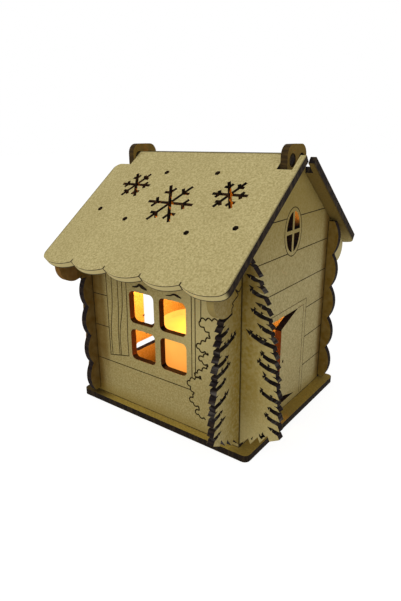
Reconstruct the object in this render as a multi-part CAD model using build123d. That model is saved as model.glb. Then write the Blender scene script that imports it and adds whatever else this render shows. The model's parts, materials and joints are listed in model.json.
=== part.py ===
from build123d import *

import os
from math import cos, radians, sin, sqrt, tan

# A flat-pack log cabin for a tealight, cut from one thickness of board, in millimetres.
# The origin is on the table under the middle of the base; the front wall faces -Y.

# Board and base
SHEET = 3.0  # thickness of every cut board
BASE_END_LEDGE = 5.8  # base past the gables
BASE_SIDE_LEDGE = 3.5  # base past the front and back walls
BASE_CORNER = 2.5

# House body
HOUSE_LENGTH = 82.4  # over the outer faces of the two gables
HOUSE_DEPTH = 76.6  # over the outer faces of the front and back walls
LAP_HEIGHT = 43.0  # where the slots of crossing boards meet
LAP_CLEARANCE = 0.1  # play on each side of a crossing board
TENON_WIDTH = 14.0
WALL_TENON_SPACING = 44.0
GABLE_TENON_SPACING = 36.0
TENON_CLEARANCE = 0.1

# Roof and its hinge
PITCH = 37.1  # slope of the roof in degrees
HINGE_SPREAD = 7.6  # between the two hinge axes
HINGE_HEIGHT = 111.1
HINGE_HOLE = 5.2  # diameter of the bearing holes in the gable heads
PIN_CLEARANCE = 0.05  # between the corners of a pin and its hole
PIN_SETBACK = 0.2  # pin end inside the gable's outer face
HEAD_WIDTH = 15.8
HEAD_RISE = 5.9  # top of the gable head above the hinge axes
HEAD_CORNER = 4.4
RAKE_OVERHANG = 5.7  # roof past the gables
PANEL_SLOPE = 67.5  # from the top edge down to the cusps of the eave
PANEL_GAP = 0.3  # between a roof board and the gable beside it
SEAT_GAP = 0.3  # between a closed roof board and the walls under it
NOTCH_REACH = 7.0  # from the hinge axis down to the floor of the notch
FINGER_WIDTH = 2.5
FRONT_FINGER_DROP = 0.9  # top of the end finger below the top edge of the front board
BACK_FINGER_DROP = 2.4
EAR_CORNER = 3.5
SCALLOP_COUNT = 5
SCALLOP_DEPTH = 2.4
EAVE_CORNER = 4.0

# Snow cut-outs of the front roof board, placed from the middle of its length and its top edge
FLAKE_SLOT = 1.5
FLAKE_LARGE = 11.5
FLAKE_SMALL = 8.0
FLAKE_TWIG_ANGLE = 60.0
FLAKE_TWIG_LENGTH = 0.27  # as a share of the arm
FLAKE_TWIG_ROOT = 0.58
FLAKES = ((0.0, -31.0, FLAKE_LARGE), (-25.0, -22.0, FLAKE_SMALL), (25.0, -24.0, FLAKE_SMALL))
DOT_RADIUS = 1.3
DOTS = ((-13.0, -13.5), (13.0, -12.5), (-35.0, -38.0), (-17.0, -42.0), (17.0, -45.0), (36.0, -40.0))

# Log ends and rafter tails
LOG_FOOT = 1.6  # first log above the base
GABLE_LOGS = 4
WALL_LOGS = 5
GABLE_LOG_REACH = 3.3  # cusps between two log ends, past the crossing wall
WALL_LOG_REACH = 2.9
LOG_BULGE = 2.4
TAIL_REACH = 17.2  # front of a rafter tail, past the crossing wall
TAIL_RADIUS = 7.2
TAIL_DEPTH = 14.3  # bottom of a tail below the roof
NECK_REACH = 6.0

# Half fir trees at the near corner
FIR_REACH = 16.5
FIR_ROUND = 1.8  # powers that shape the outline from the tree top to the lowest branch
FIR_TAPER = 0.6
FIR_TIP = 1.2  # tree top below the top of the wall
FIR_FOOT = 10.5  # lowest branch tip above the base
# Cuts between the branches: place as a share of the way down the tree, and length
FIR_CUTS = (
    (0.11, 2.6),
    (0.19, 4.2),
    (0.25, 1.5),
    (0.305, 5.6),
    (0.375, 3.2),
    (0.45, 8.6),
    (0.535, 4.6),
    (0.59, 6.5),
    (0.66, 4.8),
    (0.76, 6.4),
    (0.83, 3.2),
    (0.89, 4.4),
    (0.95, 2.2),
)
FIR_MOUTH = 1.8  # height of a cut
FIR_DROOP = 0.3  # fall of a branch for each millimetre outwards
FIR_SAG = 0.06  # middle of a branch below a straight line, as a share of the cut
FIR_FLICK = 0.9  # branch tips past the outline
FIR_LEAST = 2.0  # least height of the first branch
TWIG_LEAST = 2.6  # least height of a branch that is cut into two twigs
TWIG_PLACE = 0.35  # that cut, as a share of the branch
TWIG_CUT = 1.6
TWIG_MOUTH = 0.8
FIR_SKIRT_CUTS = 3
FIR_SKIRT_DEPTH = 2.2

# Front window
PANE_WIDTH = 14.0
PANE_HEIGHT = 14.4
GLAZING_BAR = 3.0
WINDOW_CENTRE = 42.2
PANE_CORNER = 2.3

# Right gable: oval window and the door that stands ajar
OVAL_HALF_WIDTH = 5.8
OVAL_HALF_HEIGHT = 8.3
OVAL_CENTRE = 83.2
OVAL_BAR = 1.5
DOOR_LEFT = -14.5
DOOR_HINGE = 8.8
DOOR_TOP = 48.2
DOOR_SILL = 6.4
LEAF_EDGE = -6.2
LEAF_TOP = 42.6
LEAF_BOTTOM = 10.7
KNOB_INSET = 2.5  # from the free edge of the leaf
KNOB_HEIGHT = 27.1
KNOB_RADIUS = 0.7

# Left gable: a light above a low slot
LIGHT_WIDTH = 12.0
LIGHT_BOTTOM = 23.5
LIGHT_TOP = 46.0
LIGHT_CORNER = 2.3
SLOT_WIDTH = 26.0
SLOT_BOTTOM = 14.0
SLOT_TOP = 18.6
SLOT_CORNER = 1.5

# Electric tealight
REST_GAP = 0.3
TEALIGHT_X = -5.3
TEALIGHT_Y = -1.9
TEALIGHT_RADIUS = 19.2
TEALIGHT_HEIGHT = 31.7
TEALIGHT_WALL = 1.2
TEALIGHT_RIM = 1.2
TEALIGHT_DISH = 2.0  # drop of the deck towards the flame
TEALIGHT_FIT = 0.1
FLAME_RADIUS = 4.5
FLAME_HEIGHT = 17.0  # above the deck
FLAME_BELLY_RADIUS = 5.4
FLAME_BELLY_HEIGHT = 3.4  # widest place above the deck
FLAME_SHOULDER_RADIUS = 4.0  # where the belly turns into the straight side of the tip
FLAME_SHOULDER_HEIGHT = 7.6
FLAME_TIP_RADIUS = 0.8
FLAME_BANDS = 2  # straight bands along the curve of the belly
FLAME_FLANGE = 5.8
FLAME_FLANGE_THICKNESS = 0.8
LED_RADIUS = 2.5
LED_FLANGE = 2.9
LED_FLANGE_THICKNESS = 1.0
LED_BODY = 6.0
LED_TIP = 1.0  # radius of its flat end
LED_LEG = 0.5
LED_LEG_SPREAD = 2.54
CHASSIS_THICKNESS = 1.6
CELL_RADIUS = 10.0
CELL_THICKNESS = 3.2
CELL_X = -4.0
WELL_CLEARANCE = 0.5
WELL_WALL = 1.5
DOOR_LEDGE = 0.6  # battery door reaches this far under the wall of the well
CONTACT_THICKNESS = 0.3
CONTACT_WIDTH = 3.0
CONTACT_TAB_HEIGHT = 1.4  # height of the side contact's tab above the cell
SWITCH_X = 12.4
SWITCH_WIDTH = 2.4
SWITCH_KNOB = 3.0
SWITCH_TRAVEL = 3.0
SWITCH_GAP = 0.3
SWITCH_FLANGE = 1.2  # overlap of the slider's flange on each side of its slot
SWITCH_FLANGE_THICKNESS = 0.8
SWITCH_RECESS = 0.4

SLOPE = radians(PITCH)
WALL_X = HOUSE_LENGTH / 2
WALL_Y = HOUSE_DEPTH / 2
HINGE_Y = HINGE_SPREAD / 2
PIN_WIDTH = sqrt((HINGE_HOLE - 2 * PIN_CLEARANCE) ** 2 - SHEET**2)
PANEL_TOP = PIN_WIDTH / 2
PANEL_EAVE = PANEL_TOP - PANEL_SLOPE


def rake_height(y):
    """Height of a gable's sloping edge at depth y, just under the roof boards."""
    drop = (abs(y) - HINGE_Y) * tan(SLOPE)
    return HINGE_HEIGHT - drop - (SHEET / 2 + SEAT_GAP) / cos(SLOPE)


WALL_TOP = rake_height(WALL_Y)
TAIL_Y = WALL_Y + TAIL_REACH - TAIL_RADIUS
TAIL_BOTTOM = rake_height(TAIL_Y) - TAIL_DEPTH
LOG_START = SHEET + LOG_FOOT
FIR_TOP = WALL_TOP - FIR_TIP
FIR_BOTTOM = SHEET + FIR_FOOT


def block(low_u, low_v, high_u, high_v):
    """Rectangle between two corners of a board's own drawing."""
    centre = Pos((low_u + high_u) / 2, (low_v + high_v) / 2)
    return centre * Rectangle(high_u - low_u, high_v - low_v)


def polygon(*points):
    """Face inside a closed outline of straight edges."""
    return make_face(Polyline(*points, close=True))


def rounded(width, height, corner, u, v):
    """Rectangle with round corners about the point u, v."""
    return Pos(u, v) * RectangleRounded(width, height, corner)


def flipped(face):
    """The same outline turned over left to right."""
    return mirror(face, about=Plane.YZ)


def log_ends(edge, reach, top, count):
    """Stack of round log ends on the right of a board, past the crossing wall at edge."""
    height = (top - LOG_START) / count
    cusp = edge + reach
    ends = block(edge - SHEET, LOG_START, cusp, top)
    for index in range(count):
        foot = LOG_START + index * height
        bulge = (cusp + LOG_BULGE, foot + height / 2)
        arc = ThreePointArc((cusp, foot), bulge, (cusp, foot + height))
        ends += make_face(arc + Line((cusp, foot + height), (cusp, foot)))
    return ends


def fir_reach(height):
    """Half width of a fir tree: a power curve from its top out to its lowest branch."""
    rise = abs(height - FIR_BOTTOM) / (FIR_TOP - FIR_BOTTOM)
    return FIR_REACH * (1 - rise**FIR_ROUND) ** FIR_TAPER


def fir_cut(tip, length):
    """Inner points of the sagging cut under the branch that ends at the height tip."""
    outer = fir_reach(tip)
    rise = FIR_DROOP * length
    middle = (outer - length / 2, tip + rise / 2 - FIR_SAG * length)
    inner = (outer - length, tip + rise)
    return [middle, inner, (inner[0], inner[1] - FIR_MOUTH), (middle[0], middle[1] - FIR_MOUTH)]


def fir_half(edge, shoulder):
    """Right half of a fir tree growing out of a board, past the crossing wall at edge.

    shoulder is the point, measured from the wall, where the outline of the branches starts.
    """
    root = -2 * SHEET
    points = [(root, shoulder[1]), shoulder]
    mouth = shoulder[1] - FIR_DROOP * (fir_reach(shoulder[1]) - shoulder[0])
    for place, length in (*FIR_CUTS, (1.0, 0.0)):
        tip = FIR_TOP - place * (FIR_TOP - FIR_BOTTOM)
        above_shoulder = len(points) == 2 and tip > mouth - FIR_LEAST
        if above_shoulder:
            continue
        points.append((fir_reach(mouth), mouth))
        if mouth - tip > TWIG_LEAST:
            twig = mouth - TWIG_PLACE * (mouth - tip)
            points.append((fir_reach(twig), twig))
            points.append((fir_reach(twig) - TWIG_CUT, twig))
            points.append((fir_reach(twig - TWIG_MOUTH), twig - TWIG_MOUTH))
        points.append((fir_reach(tip) + FIR_FLICK, tip))
        mouth = tip - FIR_MOUTH
        if length:
            points.extend(fir_cut(tip, length))
    skirt_fall = (FIR_BOTTOM - LOG_START) / (FIR_SKIRT_CUTS + 1)
    skirt_step = FIR_REACH / (FIR_SKIRT_CUTS + 1)
    for index in range(1, FIR_SKIRT_CUTS + 1):
        out = FIR_REACH - index * skirt_step
        low = FIR_BOTTOM - index * skirt_fall
        points.append((out + skirt_step / 4, low))
        points.append((out, low + FIR_SKIRT_DEPTH))
    points.append((0.0, LOG_START))
    points.append((root, LOG_START))
    return Pos(edge, 0) * polygon(*points)


def rafter_tail():
    """Round tail on the right of a gable, under the overhang of the roof."""
    lobe_height = TAIL_BOTTOM + TAIL_RADIUS
    lobe = Pos(TAIL_Y, lobe_height) * Circle(TAIL_RADIUS)
    neck = block(WALL_Y - SHEET, TAIL_BOTTOM, WALL_Y + NECK_REACH, rake_height(WALL_Y - SHEET))
    arm = block(WALL_Y - SHEET, lobe_height, TAIL_Y, rake_height(WALL_Y - SHEET))
    front = WALL_Y + TAIL_REACH
    back = WALL_Y - SHEET
    under_roof = polygon(
        (back, TAIL_BOTTOM - TAIL_RADIUS),
        (front, TAIL_BOTTOM - TAIL_RADIUS),
        (front, rake_height(front)),
        (back, rake_height(back)),
    )
    return (lobe + neck + arm) & under_roof


def gable_blank(front_growth):
    """Outline of a gable in its own drawing, u along Y and v up.

    front_growth is the face that grows out of the board in front, drawn on the right.
    """
    body = polygon(
        (-WALL_Y, SHEET),
        (WALL_Y, SHEET),
        (WALL_Y, rake_height(WALL_Y)),
        (HINGE_Y, rake_height(HINGE_Y)),
        (-HINGE_Y, rake_height(HINGE_Y)),
        (-WALL_Y, rake_height(WALL_Y)),
    )
    head_top = HINGE_HEIGHT + HEAD_RISE
    head_foot = rake_height(HEAD_WIDTH / 2) - HEAD_CORNER
    head = block(-HEAD_WIDTH / 2, head_foot, HEAD_WIDTH / 2, head_top)
    head = fillet(head.vertices().group_by(Axis.Y)[-1], HEAD_CORNER)
    rear_growth = log_ends(WALL_Y, GABLE_LOG_REACH, TAIL_BOTTOM, GABLE_LOGS)
    blank = body + head + rafter_tail() + flipped(rafter_tail())
    blank = blank + rear_growth + flipped(front_growth)
    for side in (-1, 1):
        blank -= Pos(side * HINGE_Y, HINGE_HEIGHT) * Circle(HINGE_HOLE / 2)
        inner = WALL_Y - SHEET - LAP_CLEARANCE
        outer = WALL_Y + LAP_CLEARANCE
        slot = block(inner, 0, outer, LAP_HEIGHT)
        blank -= slot if side > 0 else flipped(slot)
        tenon_u = side * GABLE_TENON_SPACING / 2
        blank += block(tenon_u - TENON_WIDTH / 2, 0, tenon_u + TENON_WIDTH / 2, SHEET)
    return blank


def wall_blank(right_growth):
    """Outline of the front or back wall in its own drawing, u along X and v up."""
    blank = block(-WALL_X, SHEET, WALL_X, WALL_TOP) + right_growth
    blank += flipped(log_ends(WALL_X, WALL_LOG_REACH, WALL_TOP, WALL_LOGS))
    for side in (-1, 1):
        inner = WALL_X - SHEET - LAP_CLEARANCE
        outer = WALL_X + LAP_CLEARANCE
        slot = block(inner, LAP_HEIGHT, outer, WALL_TOP + SHEET)
        blank -= slot if side > 0 else flipped(slot)
        tenon_u = side * WALL_TENON_SPACING / 2
        blank += block(tenon_u - TENON_WIDTH / 2, 0, tenon_u + TENON_WIDTH / 2, SHEET)
    return blank


def across(face, y):
    """Board that stands along X, with its front face at y."""
    plane = Plane(origin=(0, y, 0), x_dir=(1, 0, 0), z_dir=(0, -1, 0))
    return extrude(plane * face, amount=-SHEET)


def along(face, x):
    """Board that stands along Y, with its right face at x."""
    plane = Plane(origin=(x, 0, 0), x_dir=(0, 1, 0), z_dir=(1, 0, 0))
    return extrude(plane * face, amount=-SHEET)


def make_base_plate():
    """Floor of the house with a slot for every tenon."""
    length = HOUSE_LENGTH + 2 * BASE_END_LEDGE
    depth = HOUSE_DEPTH + 2 * BASE_SIDE_LEDGE
    plate = RectangleRounded(length, depth, BASE_CORNER)
    slot_length = TENON_WIDTH + 2 * TENON_CLEARANCE
    slot_width = SHEET + 2 * TENON_CLEARANCE
    for side in (-1, 1):
        for end in (-1, 1):
            wall_place = Pos(end * WALL_TENON_SPACING / 2, side * (WALL_Y - SHEET / 2))
            gable_place = Pos(side * (WALL_X - SHEET / 2), end * GABLE_TENON_SPACING / 2)
            plate -= wall_place * Rectangle(slot_length, slot_width)
            plate -= gable_place * Rectangle(slot_width, slot_length)
    return extrude(plate, amount=SHEET)


def make_front_wall():
    """Front wall with four window panes and half a fir tree past the near corner."""
    blank = wall_blank(fir_half(WALL_X, (-SHEET, FIR_TOP)))
    for column in (-1, 1):
        for row in (-1, 1):
            u = column * (PANE_WIDTH + GLAZING_BAR) / 2
            v = WINDOW_CENTRE + row * (PANE_HEIGHT + GLAZING_BAR) / 2
            blank -= rounded(PANE_WIDTH, PANE_HEIGHT, PANE_CORNER, u, v)
    return across(blank, -WALL_Y)


def make_back_wall():
    """Plain back wall with log ends on both sides."""
    blank = wall_blank(log_ends(WALL_X, WALL_LOG_REACH, WALL_TOP, WALL_LOGS))
    return across(blank, WALL_Y - SHEET)


def make_right_gable():
    """Gable with the oval window, the door that stands ajar and half a fir tree in front."""
    blank = gable_blank(fir_half(WALL_Y, (NECK_REACH, TAIL_BOTTOM)))
    oval = Pos(0, OVAL_CENTRE) * Ellipse(OVAL_HALF_WIDTH, OVAL_HALF_HEIGHT)
    oval -= Pos(0, OVAL_CENTRE) * Rectangle(OVAL_BAR, 2 * OVAL_HALF_HEIGHT)
    oval -= Pos(0, OVAL_CENTRE) * Rectangle(2 * OVAL_HALF_WIDTH, OVAL_BAR)
    doorway = polygon(
        (DOOR_HINGE, DOOR_TOP),
        (DOOR_LEFT, DOOR_TOP),
        (DOOR_LEFT, DOOR_SILL),
        (DOOR_HINGE, DOOR_SILL),
        (LEAF_EDGE, LEAF_BOTTOM),
        (LEAF_EDGE, LEAF_TOP),
    )
    knob = Pos(LEAF_EDGE + KNOB_INSET, KNOB_HEIGHT) * Circle(KNOB_RADIUS)
    return along(blank - oval - doorway - knob, WALL_X)


def make_left_gable():
    """Gable with a light above a low slot, and log ends on both sides."""
    blank = gable_blank(log_ends(WALL_Y, GABLE_LOG_REACH, TAIL_BOTTOM, GABLE_LOGS))
    light_height = LIGHT_TOP - LIGHT_BOTTOM
    blank -= rounded(LIGHT_WIDTH, light_height, LIGHT_CORNER, 0, (LIGHT_TOP + LIGHT_BOTTOM) / 2)
    slot_height = SLOT_TOP - SLOT_BOTTOM
    blank -= rounded(SLOT_WIDTH, slot_height, SLOT_CORNER, 0, (SLOT_TOP + SLOT_BOTTOM) / 2)
    return along(blank, -WALL_X + SHEET)


def snowflake(radius):
    """Six-armed flake cut with straight slots, each arm with a pair of twigs."""
    flake = Sketch()
    twig = radius * FLAKE_TWIG_LENGTH
    for index in range(6):
        arm = Rot(0, 0, 60 * index)
        flake += arm * (Pos(radius / 2, 0) * Rectangle(radius, FLAKE_SLOT))
        for side in (-1, 1):
            turn = Pos(radius * FLAKE_TWIG_ROOT, 0) * Rot(0, 0, side * FLAKE_TWIG_ANGLE)
            flake += arm * (turn * (Pos(twig / 2, 0) * Rectangle(twig, FLAKE_SLOT)))
    return flake


def corner_at(face, u, v):
    """The corner of an outline nearest to the point u, v."""
    return face.vertices().sort_by_distance((u, v, 0))[0]


def roof_outline(finger_drop):
    """Roof board in its own drawing, u along X and v up the slope from the hinge axis.

    finger_drop is how far the finger past the right gable ends below the top edge.
    """
    half = WALL_X + RAKE_OVERHANG
    width = 2 * half / SCALLOP_COUNT
    board = block(-half, PANEL_EAVE, half, PANEL_TOP)
    for index in range(SCALLOP_COUNT):
        left = -half + index * width
        low = (left + width / 2, PANEL_EAVE - SCALLOP_DEPTH)
        arc = ThreePointArc((left, PANEL_EAVE), low, (left + width, PANEL_EAVE))
        board += make_face(arc + Line((left + width, PANEL_EAVE), (left, PANEL_EAVE)))
    shoulder = WALL_X - SHEET - PANEL_GAP
    above = PANEL_TOP + SHEET
    board -= block(shoulder, -NOTCH_REACH, half - FINGER_WIDTH, above)
    board -= block(half - FINGER_WIDTH, PANEL_TOP - finger_drop, half, above)
    board -= block(-half - SHEET, -NOTCH_REACH, -shoulder, above)
    board = fillet(corner_at(board, -half, PANEL_EAVE), EAVE_CORNER)
    board = fillet(corner_at(board, half, PANEL_EAVE), EAVE_CORNER)
    board = fillet(corner_at(board, -half, -NOTCH_REACH), EAR_CORNER)
    for side in (-1, 1):
        root = side * (shoulder - SHEET)
        end = side * (WALL_X - PIN_SETBACK)
        board += block(min(root, end), -PIN_WIDTH / 2, max(root, end), PIN_WIDTH / 2)
    return board


def roof_board(outline):
    """Closed front roof board, its middle plane through the hinge axis."""
    plane = Plane(
        origin=(0, -HINGE_Y, HINGE_HEIGHT),
        x_dir=(1, 0, 0),
        z_dir=(0, -sin(SLOPE), cos(SLOPE)),
    )
    return extrude(plane * outline, amount=SHEET / 2, both=True)


def make_front_roof():
    """Front roof board with its snow cut-outs."""
    outline = roof_outline(FRONT_FINGER_DROP)
    for u, down, radius in FLAKES:
        outline -= Pos(u, PANEL_TOP + down) * snowflake(radius)
    for u, down in DOTS:
        outline -= Pos(u, PANEL_TOP + down) * RegularPolygon(DOT_RADIUS, 6)
    return roof_board(outline)


def make_back_roof():
    """Back roof board, the plain outline turned to the other side of the ridge."""
    return mirror(roof_board(roof_outline(BACK_FINGER_DROP)), about=Plane.XZ)


TEALIGHT_FOOT = SHEET + REST_GAP
DECK_ROOT = TEALIGHT_HEIGHT - TEALIGHT_DISH
FLANGE_TOP = DECK_ROOT - TEALIGHT_WALL
FLANGE_BOTTOM = FLANGE_TOP - FLAME_FLANGE_THICKNESS
CHASSIS_RADIUS = TEALIGHT_RADIUS - TEALIGHT_WALL - TEALIGHT_FIT
WELL_RADIUS = CELL_RADIUS + WELL_CLEARANCE
CELL_TOP = CHASSIS_THICKNESS + CELL_THICKNESS
TAB_HEIGHT = CELL_TOP + CONTACT_TAB_HEIGHT


def on_floor(solid):
    """Tealight piece, drawn from its own foot, moved to its place on the floor."""
    return Pos(TEALIGHT_X, TEALIGHT_Y, TEALIGHT_FOOT) * solid


def turned(*points):
    """Solid of revolution about Z from radius and height pairs."""
    profile = Plane.XZ * polygon(*points)
    return revolve(profile, axis=Axis.Z)


def upright(width, depth, low, high, x=0.0, y=0.0):
    """Box between two heights about a point of the floor plan."""
    return Pos(x, y, (low + high) / 2) * Box(width, depth, high - low)


def upright_disc(radius, low, high, x=0.0):
    """Cylinder between two heights about a point of the X axis."""
    return Pos(x, 0, (low + high) / 2) * Cylinder(radius, high - low)


def make_tealight_case():
    """Moulded cup turned upside down, with a dished deck and a hole for the flame."""
    inner = TEALIGHT_RADIUS - TEALIGHT_WALL
    hole = FLAME_RADIUS + TEALIGHT_FIT
    return turned(
        (TEALIGHT_RADIUS, 0),
        (TEALIGHT_RADIUS, TEALIGHT_HEIGHT),
        (inner, TEALIGHT_HEIGHT),
        (inner - TEALIGHT_RIM, DECK_ROOT),
        (hole, DECK_ROOT),
        (hole, FLANGE_TOP),
        (inner, FLANGE_TOP),
        (inner, 0),
    )


def make_tealight_chassis():
    """Bottom plate with the battery well, its door opening and the switch slot."""
    chassis = upright_disc(CHASSIS_RADIUS, 0, CHASSIS_THICKNESS)
    well = upright_disc(WELL_RADIUS + WELL_WALL, CHASSIS_THICKNESS, CELL_TOP, CELL_X)
    well -= upright_disc(WELL_RADIUS, CHASSIS_THICKNESS, CELL_TOP, CELL_X)
    chassis -= upright_disc(WELL_RADIUS + DOOR_LEDGE, 0, CHASSIS_THICKNESS, CELL_X)
    slot_length = SWITCH_KNOB + SWITCH_TRAVEL + 2 * SWITCH_GAP
    slot = upright(SWITCH_WIDTH + 2 * SWITCH_GAP, slot_length, 0, CHASSIS_THICKNESS, SWITCH_X)
    return chassis + well - slot


def banded(arc, bands):
    """Radius and height pairs along an arc of a turned profile, up to its last band."""
    places = [arc @ (band / bands) for band in range(bands)]
    return [(place.X, place.Y) for place in places]


def make_flame():
    """Hollow flame tip with a flange that seats under the deck."""
    root = (FLAME_RADIUS, DECK_ROOT)
    belly = (FLAME_BELLY_RADIUS, DECK_ROOT + FLAME_BELLY_HEIGHT)
    shoulder = (FLAME_SHOULDER_RADIUS, DECK_ROOT + FLAME_SHOULDER_HEIGHT)
    tip = (FLAME_TIP_RADIUS, DECK_ROOT + FLAME_HEIGHT)
    bore = LED_RADIUS + TEALIGHT_FIT
    bore_top = FLANGE_BOTTOM + LED_BODY + LED_RADIUS + TEALIGHT_FIT
    return turned(
        *banded(ThreePointArc(root, belly, shoulder), FLAME_BANDS),
        shoulder,
        tip,
        (0, DECK_ROOT + FLAME_HEIGHT),
        (0, bore_top),
        (bore, bore_top),
        (bore, FLANGE_BOTTOM),
        (FLAME_FLANGE, FLANGE_BOTTOM),
        (FLAME_FLANGE, FLANGE_TOP),
        (FLAME_RADIUS, FLANGE_TOP),
    )


def make_led():
    """Round lamp with its tapered end, its flange under the flame and two legs."""
    base = FLANGE_BOTTOM - LED_FLANGE_THICKNESS
    taper_foot = FLANGE_BOTTOM + LED_BODY
    lamp = turned(
        (0, base),
        (LED_FLANGE, base),
        (LED_FLANGE, FLANGE_BOTTOM),
        (LED_RADIUS, FLANGE_BOTTOM),
        (LED_RADIUS, taper_foot),
        (LED_TIP, taper_foot + LED_RADIUS),
        (0, taper_foot + LED_RADIUS),
    )
    legs = ((-1, CELL_TOP + CONTACT_THICKNESS), (1, TAB_HEIGHT + CONTACT_THICKNESS))
    for side, foot in legs:
        lamp += upright(LED_LEG, LED_LEG, foot, base, side * LED_LEG_SPREAD / 2)
    return lamp


def make_top_contact():
    """Strip on the upper face of the cell, under the lamp's first leg."""
    start = CELL_X - CONTACT_WIDTH
    end = (LED_LEG - LED_LEG_SPREAD) / 2
    top = CELL_TOP + CONTACT_THICKNESS
    return upright(end - start, CONTACT_WIDTH, CELL_TOP, top, (start + end) / 2)


def make_side_contact():
    """Bent strip from the rim of the cell to the lamp's second leg."""
    rim = CELL_X + CELL_RADIUS
    tab_start = (LED_LEG_SPREAD - LED_LEG) / 2
    tab_end = rim + CONTACT_THICKNESS
    top = TAB_HEIGHT + CONTACT_THICKNESS
    post_x = rim + CONTACT_THICKNESS / 2
    tab_x = (tab_start + tab_end) / 2
    post = upright(CONTACT_THICKNESS, CONTACT_WIDTH, CHASSIS_THICKNESS, top, post_x)
    return post + upright(tab_end - tab_start, CONTACT_WIDTH, TAB_HEIGHT, top, tab_x)


def make_switch_slider():
    """Slider with its knob in the chassis slot and its flange above the plate."""
    start = -SWITCH_TRAVEL / 2
    flange_foot = CHASSIS_THICKNESS + SWITCH_GAP
    flange_width = SWITCH_WIDTH + 2 * SWITCH_FLANGE
    flange_length = SWITCH_KNOB + 2 * SWITCH_FLANGE
    knob = upright(SWITCH_WIDTH, SWITCH_KNOB, SWITCH_RECESS, flange_foot, SWITCH_X, start)
    flange_top = flange_foot + SWITCH_FLANGE_THICKNESS
    return knob + upright(flange_width, flange_length, flange_foot, flange_top, SWITCH_X, start)


PIECES = {
    "base_plate": make_base_plate(),
    "front_wall": make_front_wall(),
    "back_wall": make_back_wall(),
    "left_gable": make_left_gable(),
    "right_gable": make_right_gable(),
    "front_roof": make_front_roof(),
    "back_roof": make_back_roof(),
    "tealight_case": on_floor(make_tealight_case()),
    "tealight_chassis": on_floor(make_tealight_chassis()),
    "battery_door": on_floor(
        upright_disc(WELL_RADIUS + DOOR_LEDGE - TEALIGHT_FIT, 0, CHASSIS_THICKNESS, CELL_X)
    ),
    "coin_cell": on_floor(upright_disc(CELL_RADIUS, CHASSIS_THICKNESS, CELL_TOP, CELL_X)),
    "top_contact": on_floor(make_top_contact()),
    "side_contact": on_floor(make_side_contact()),
    "led": on_floor(make_led()),
    "flame": on_floor(make_flame()),
    "switch_slider": on_floor(make_switch_slider()),
}

os.makedirs("parts", exist_ok=True)
for name, piece in PIECES.items():
    export_step(piece, f"parts/{name}.step")
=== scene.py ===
"""Looks of a small log-cabin lantern: slotted boards, two roof flaps and a glowing tealight.

Lengths are in millimetres and MM turns them into the metres of the frame. Colours are linear.
"""

import json
import logging
import math
from dataclasses import dataclass, field, replace
from enum import Enum

import bpy
import numpy as np
from mathutils import Matrix, Vector

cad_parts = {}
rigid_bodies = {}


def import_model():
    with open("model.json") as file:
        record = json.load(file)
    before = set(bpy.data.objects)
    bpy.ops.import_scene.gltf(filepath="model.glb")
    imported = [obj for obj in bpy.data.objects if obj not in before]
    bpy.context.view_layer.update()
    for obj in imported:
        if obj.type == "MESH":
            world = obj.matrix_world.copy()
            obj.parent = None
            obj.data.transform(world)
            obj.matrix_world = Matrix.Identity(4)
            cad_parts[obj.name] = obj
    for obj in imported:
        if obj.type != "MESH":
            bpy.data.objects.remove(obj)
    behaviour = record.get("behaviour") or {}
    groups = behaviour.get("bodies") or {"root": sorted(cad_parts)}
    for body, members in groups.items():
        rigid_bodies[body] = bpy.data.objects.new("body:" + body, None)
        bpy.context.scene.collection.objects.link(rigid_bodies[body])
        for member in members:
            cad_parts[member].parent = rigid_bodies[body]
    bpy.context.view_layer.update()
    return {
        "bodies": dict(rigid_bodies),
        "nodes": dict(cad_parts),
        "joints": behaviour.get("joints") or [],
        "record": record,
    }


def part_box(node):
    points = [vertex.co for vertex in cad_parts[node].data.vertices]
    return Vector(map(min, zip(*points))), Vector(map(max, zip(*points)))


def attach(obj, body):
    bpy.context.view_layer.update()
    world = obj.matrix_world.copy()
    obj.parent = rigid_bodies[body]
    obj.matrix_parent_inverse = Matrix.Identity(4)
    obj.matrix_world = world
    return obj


LOG = logging.getLogger("tealight_house")
MM = 0.001
RIGHT = Vector((1.0, 0.0, 0.0))
BACK = Vector((0.0, 1.0, 0.0))
UP = Vector((0.0, 0.0, 1.0))

Colour = tuple[float, float, float]
Point = tuple[float, float]
Span = tuple[float, float]
Socket = bpy.types.NodeSocket

HARD_STEP = 0.25  # half the width of a step at the border of a span, in millimetres
MIX_FACTOR, MIX_FIRST, MIX_SECOND, MIX_RESULT = 0, 6, 7, 2  # sockets of a Mix node for colours
EVEN = (1.0, 1.0, 1.0)


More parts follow.
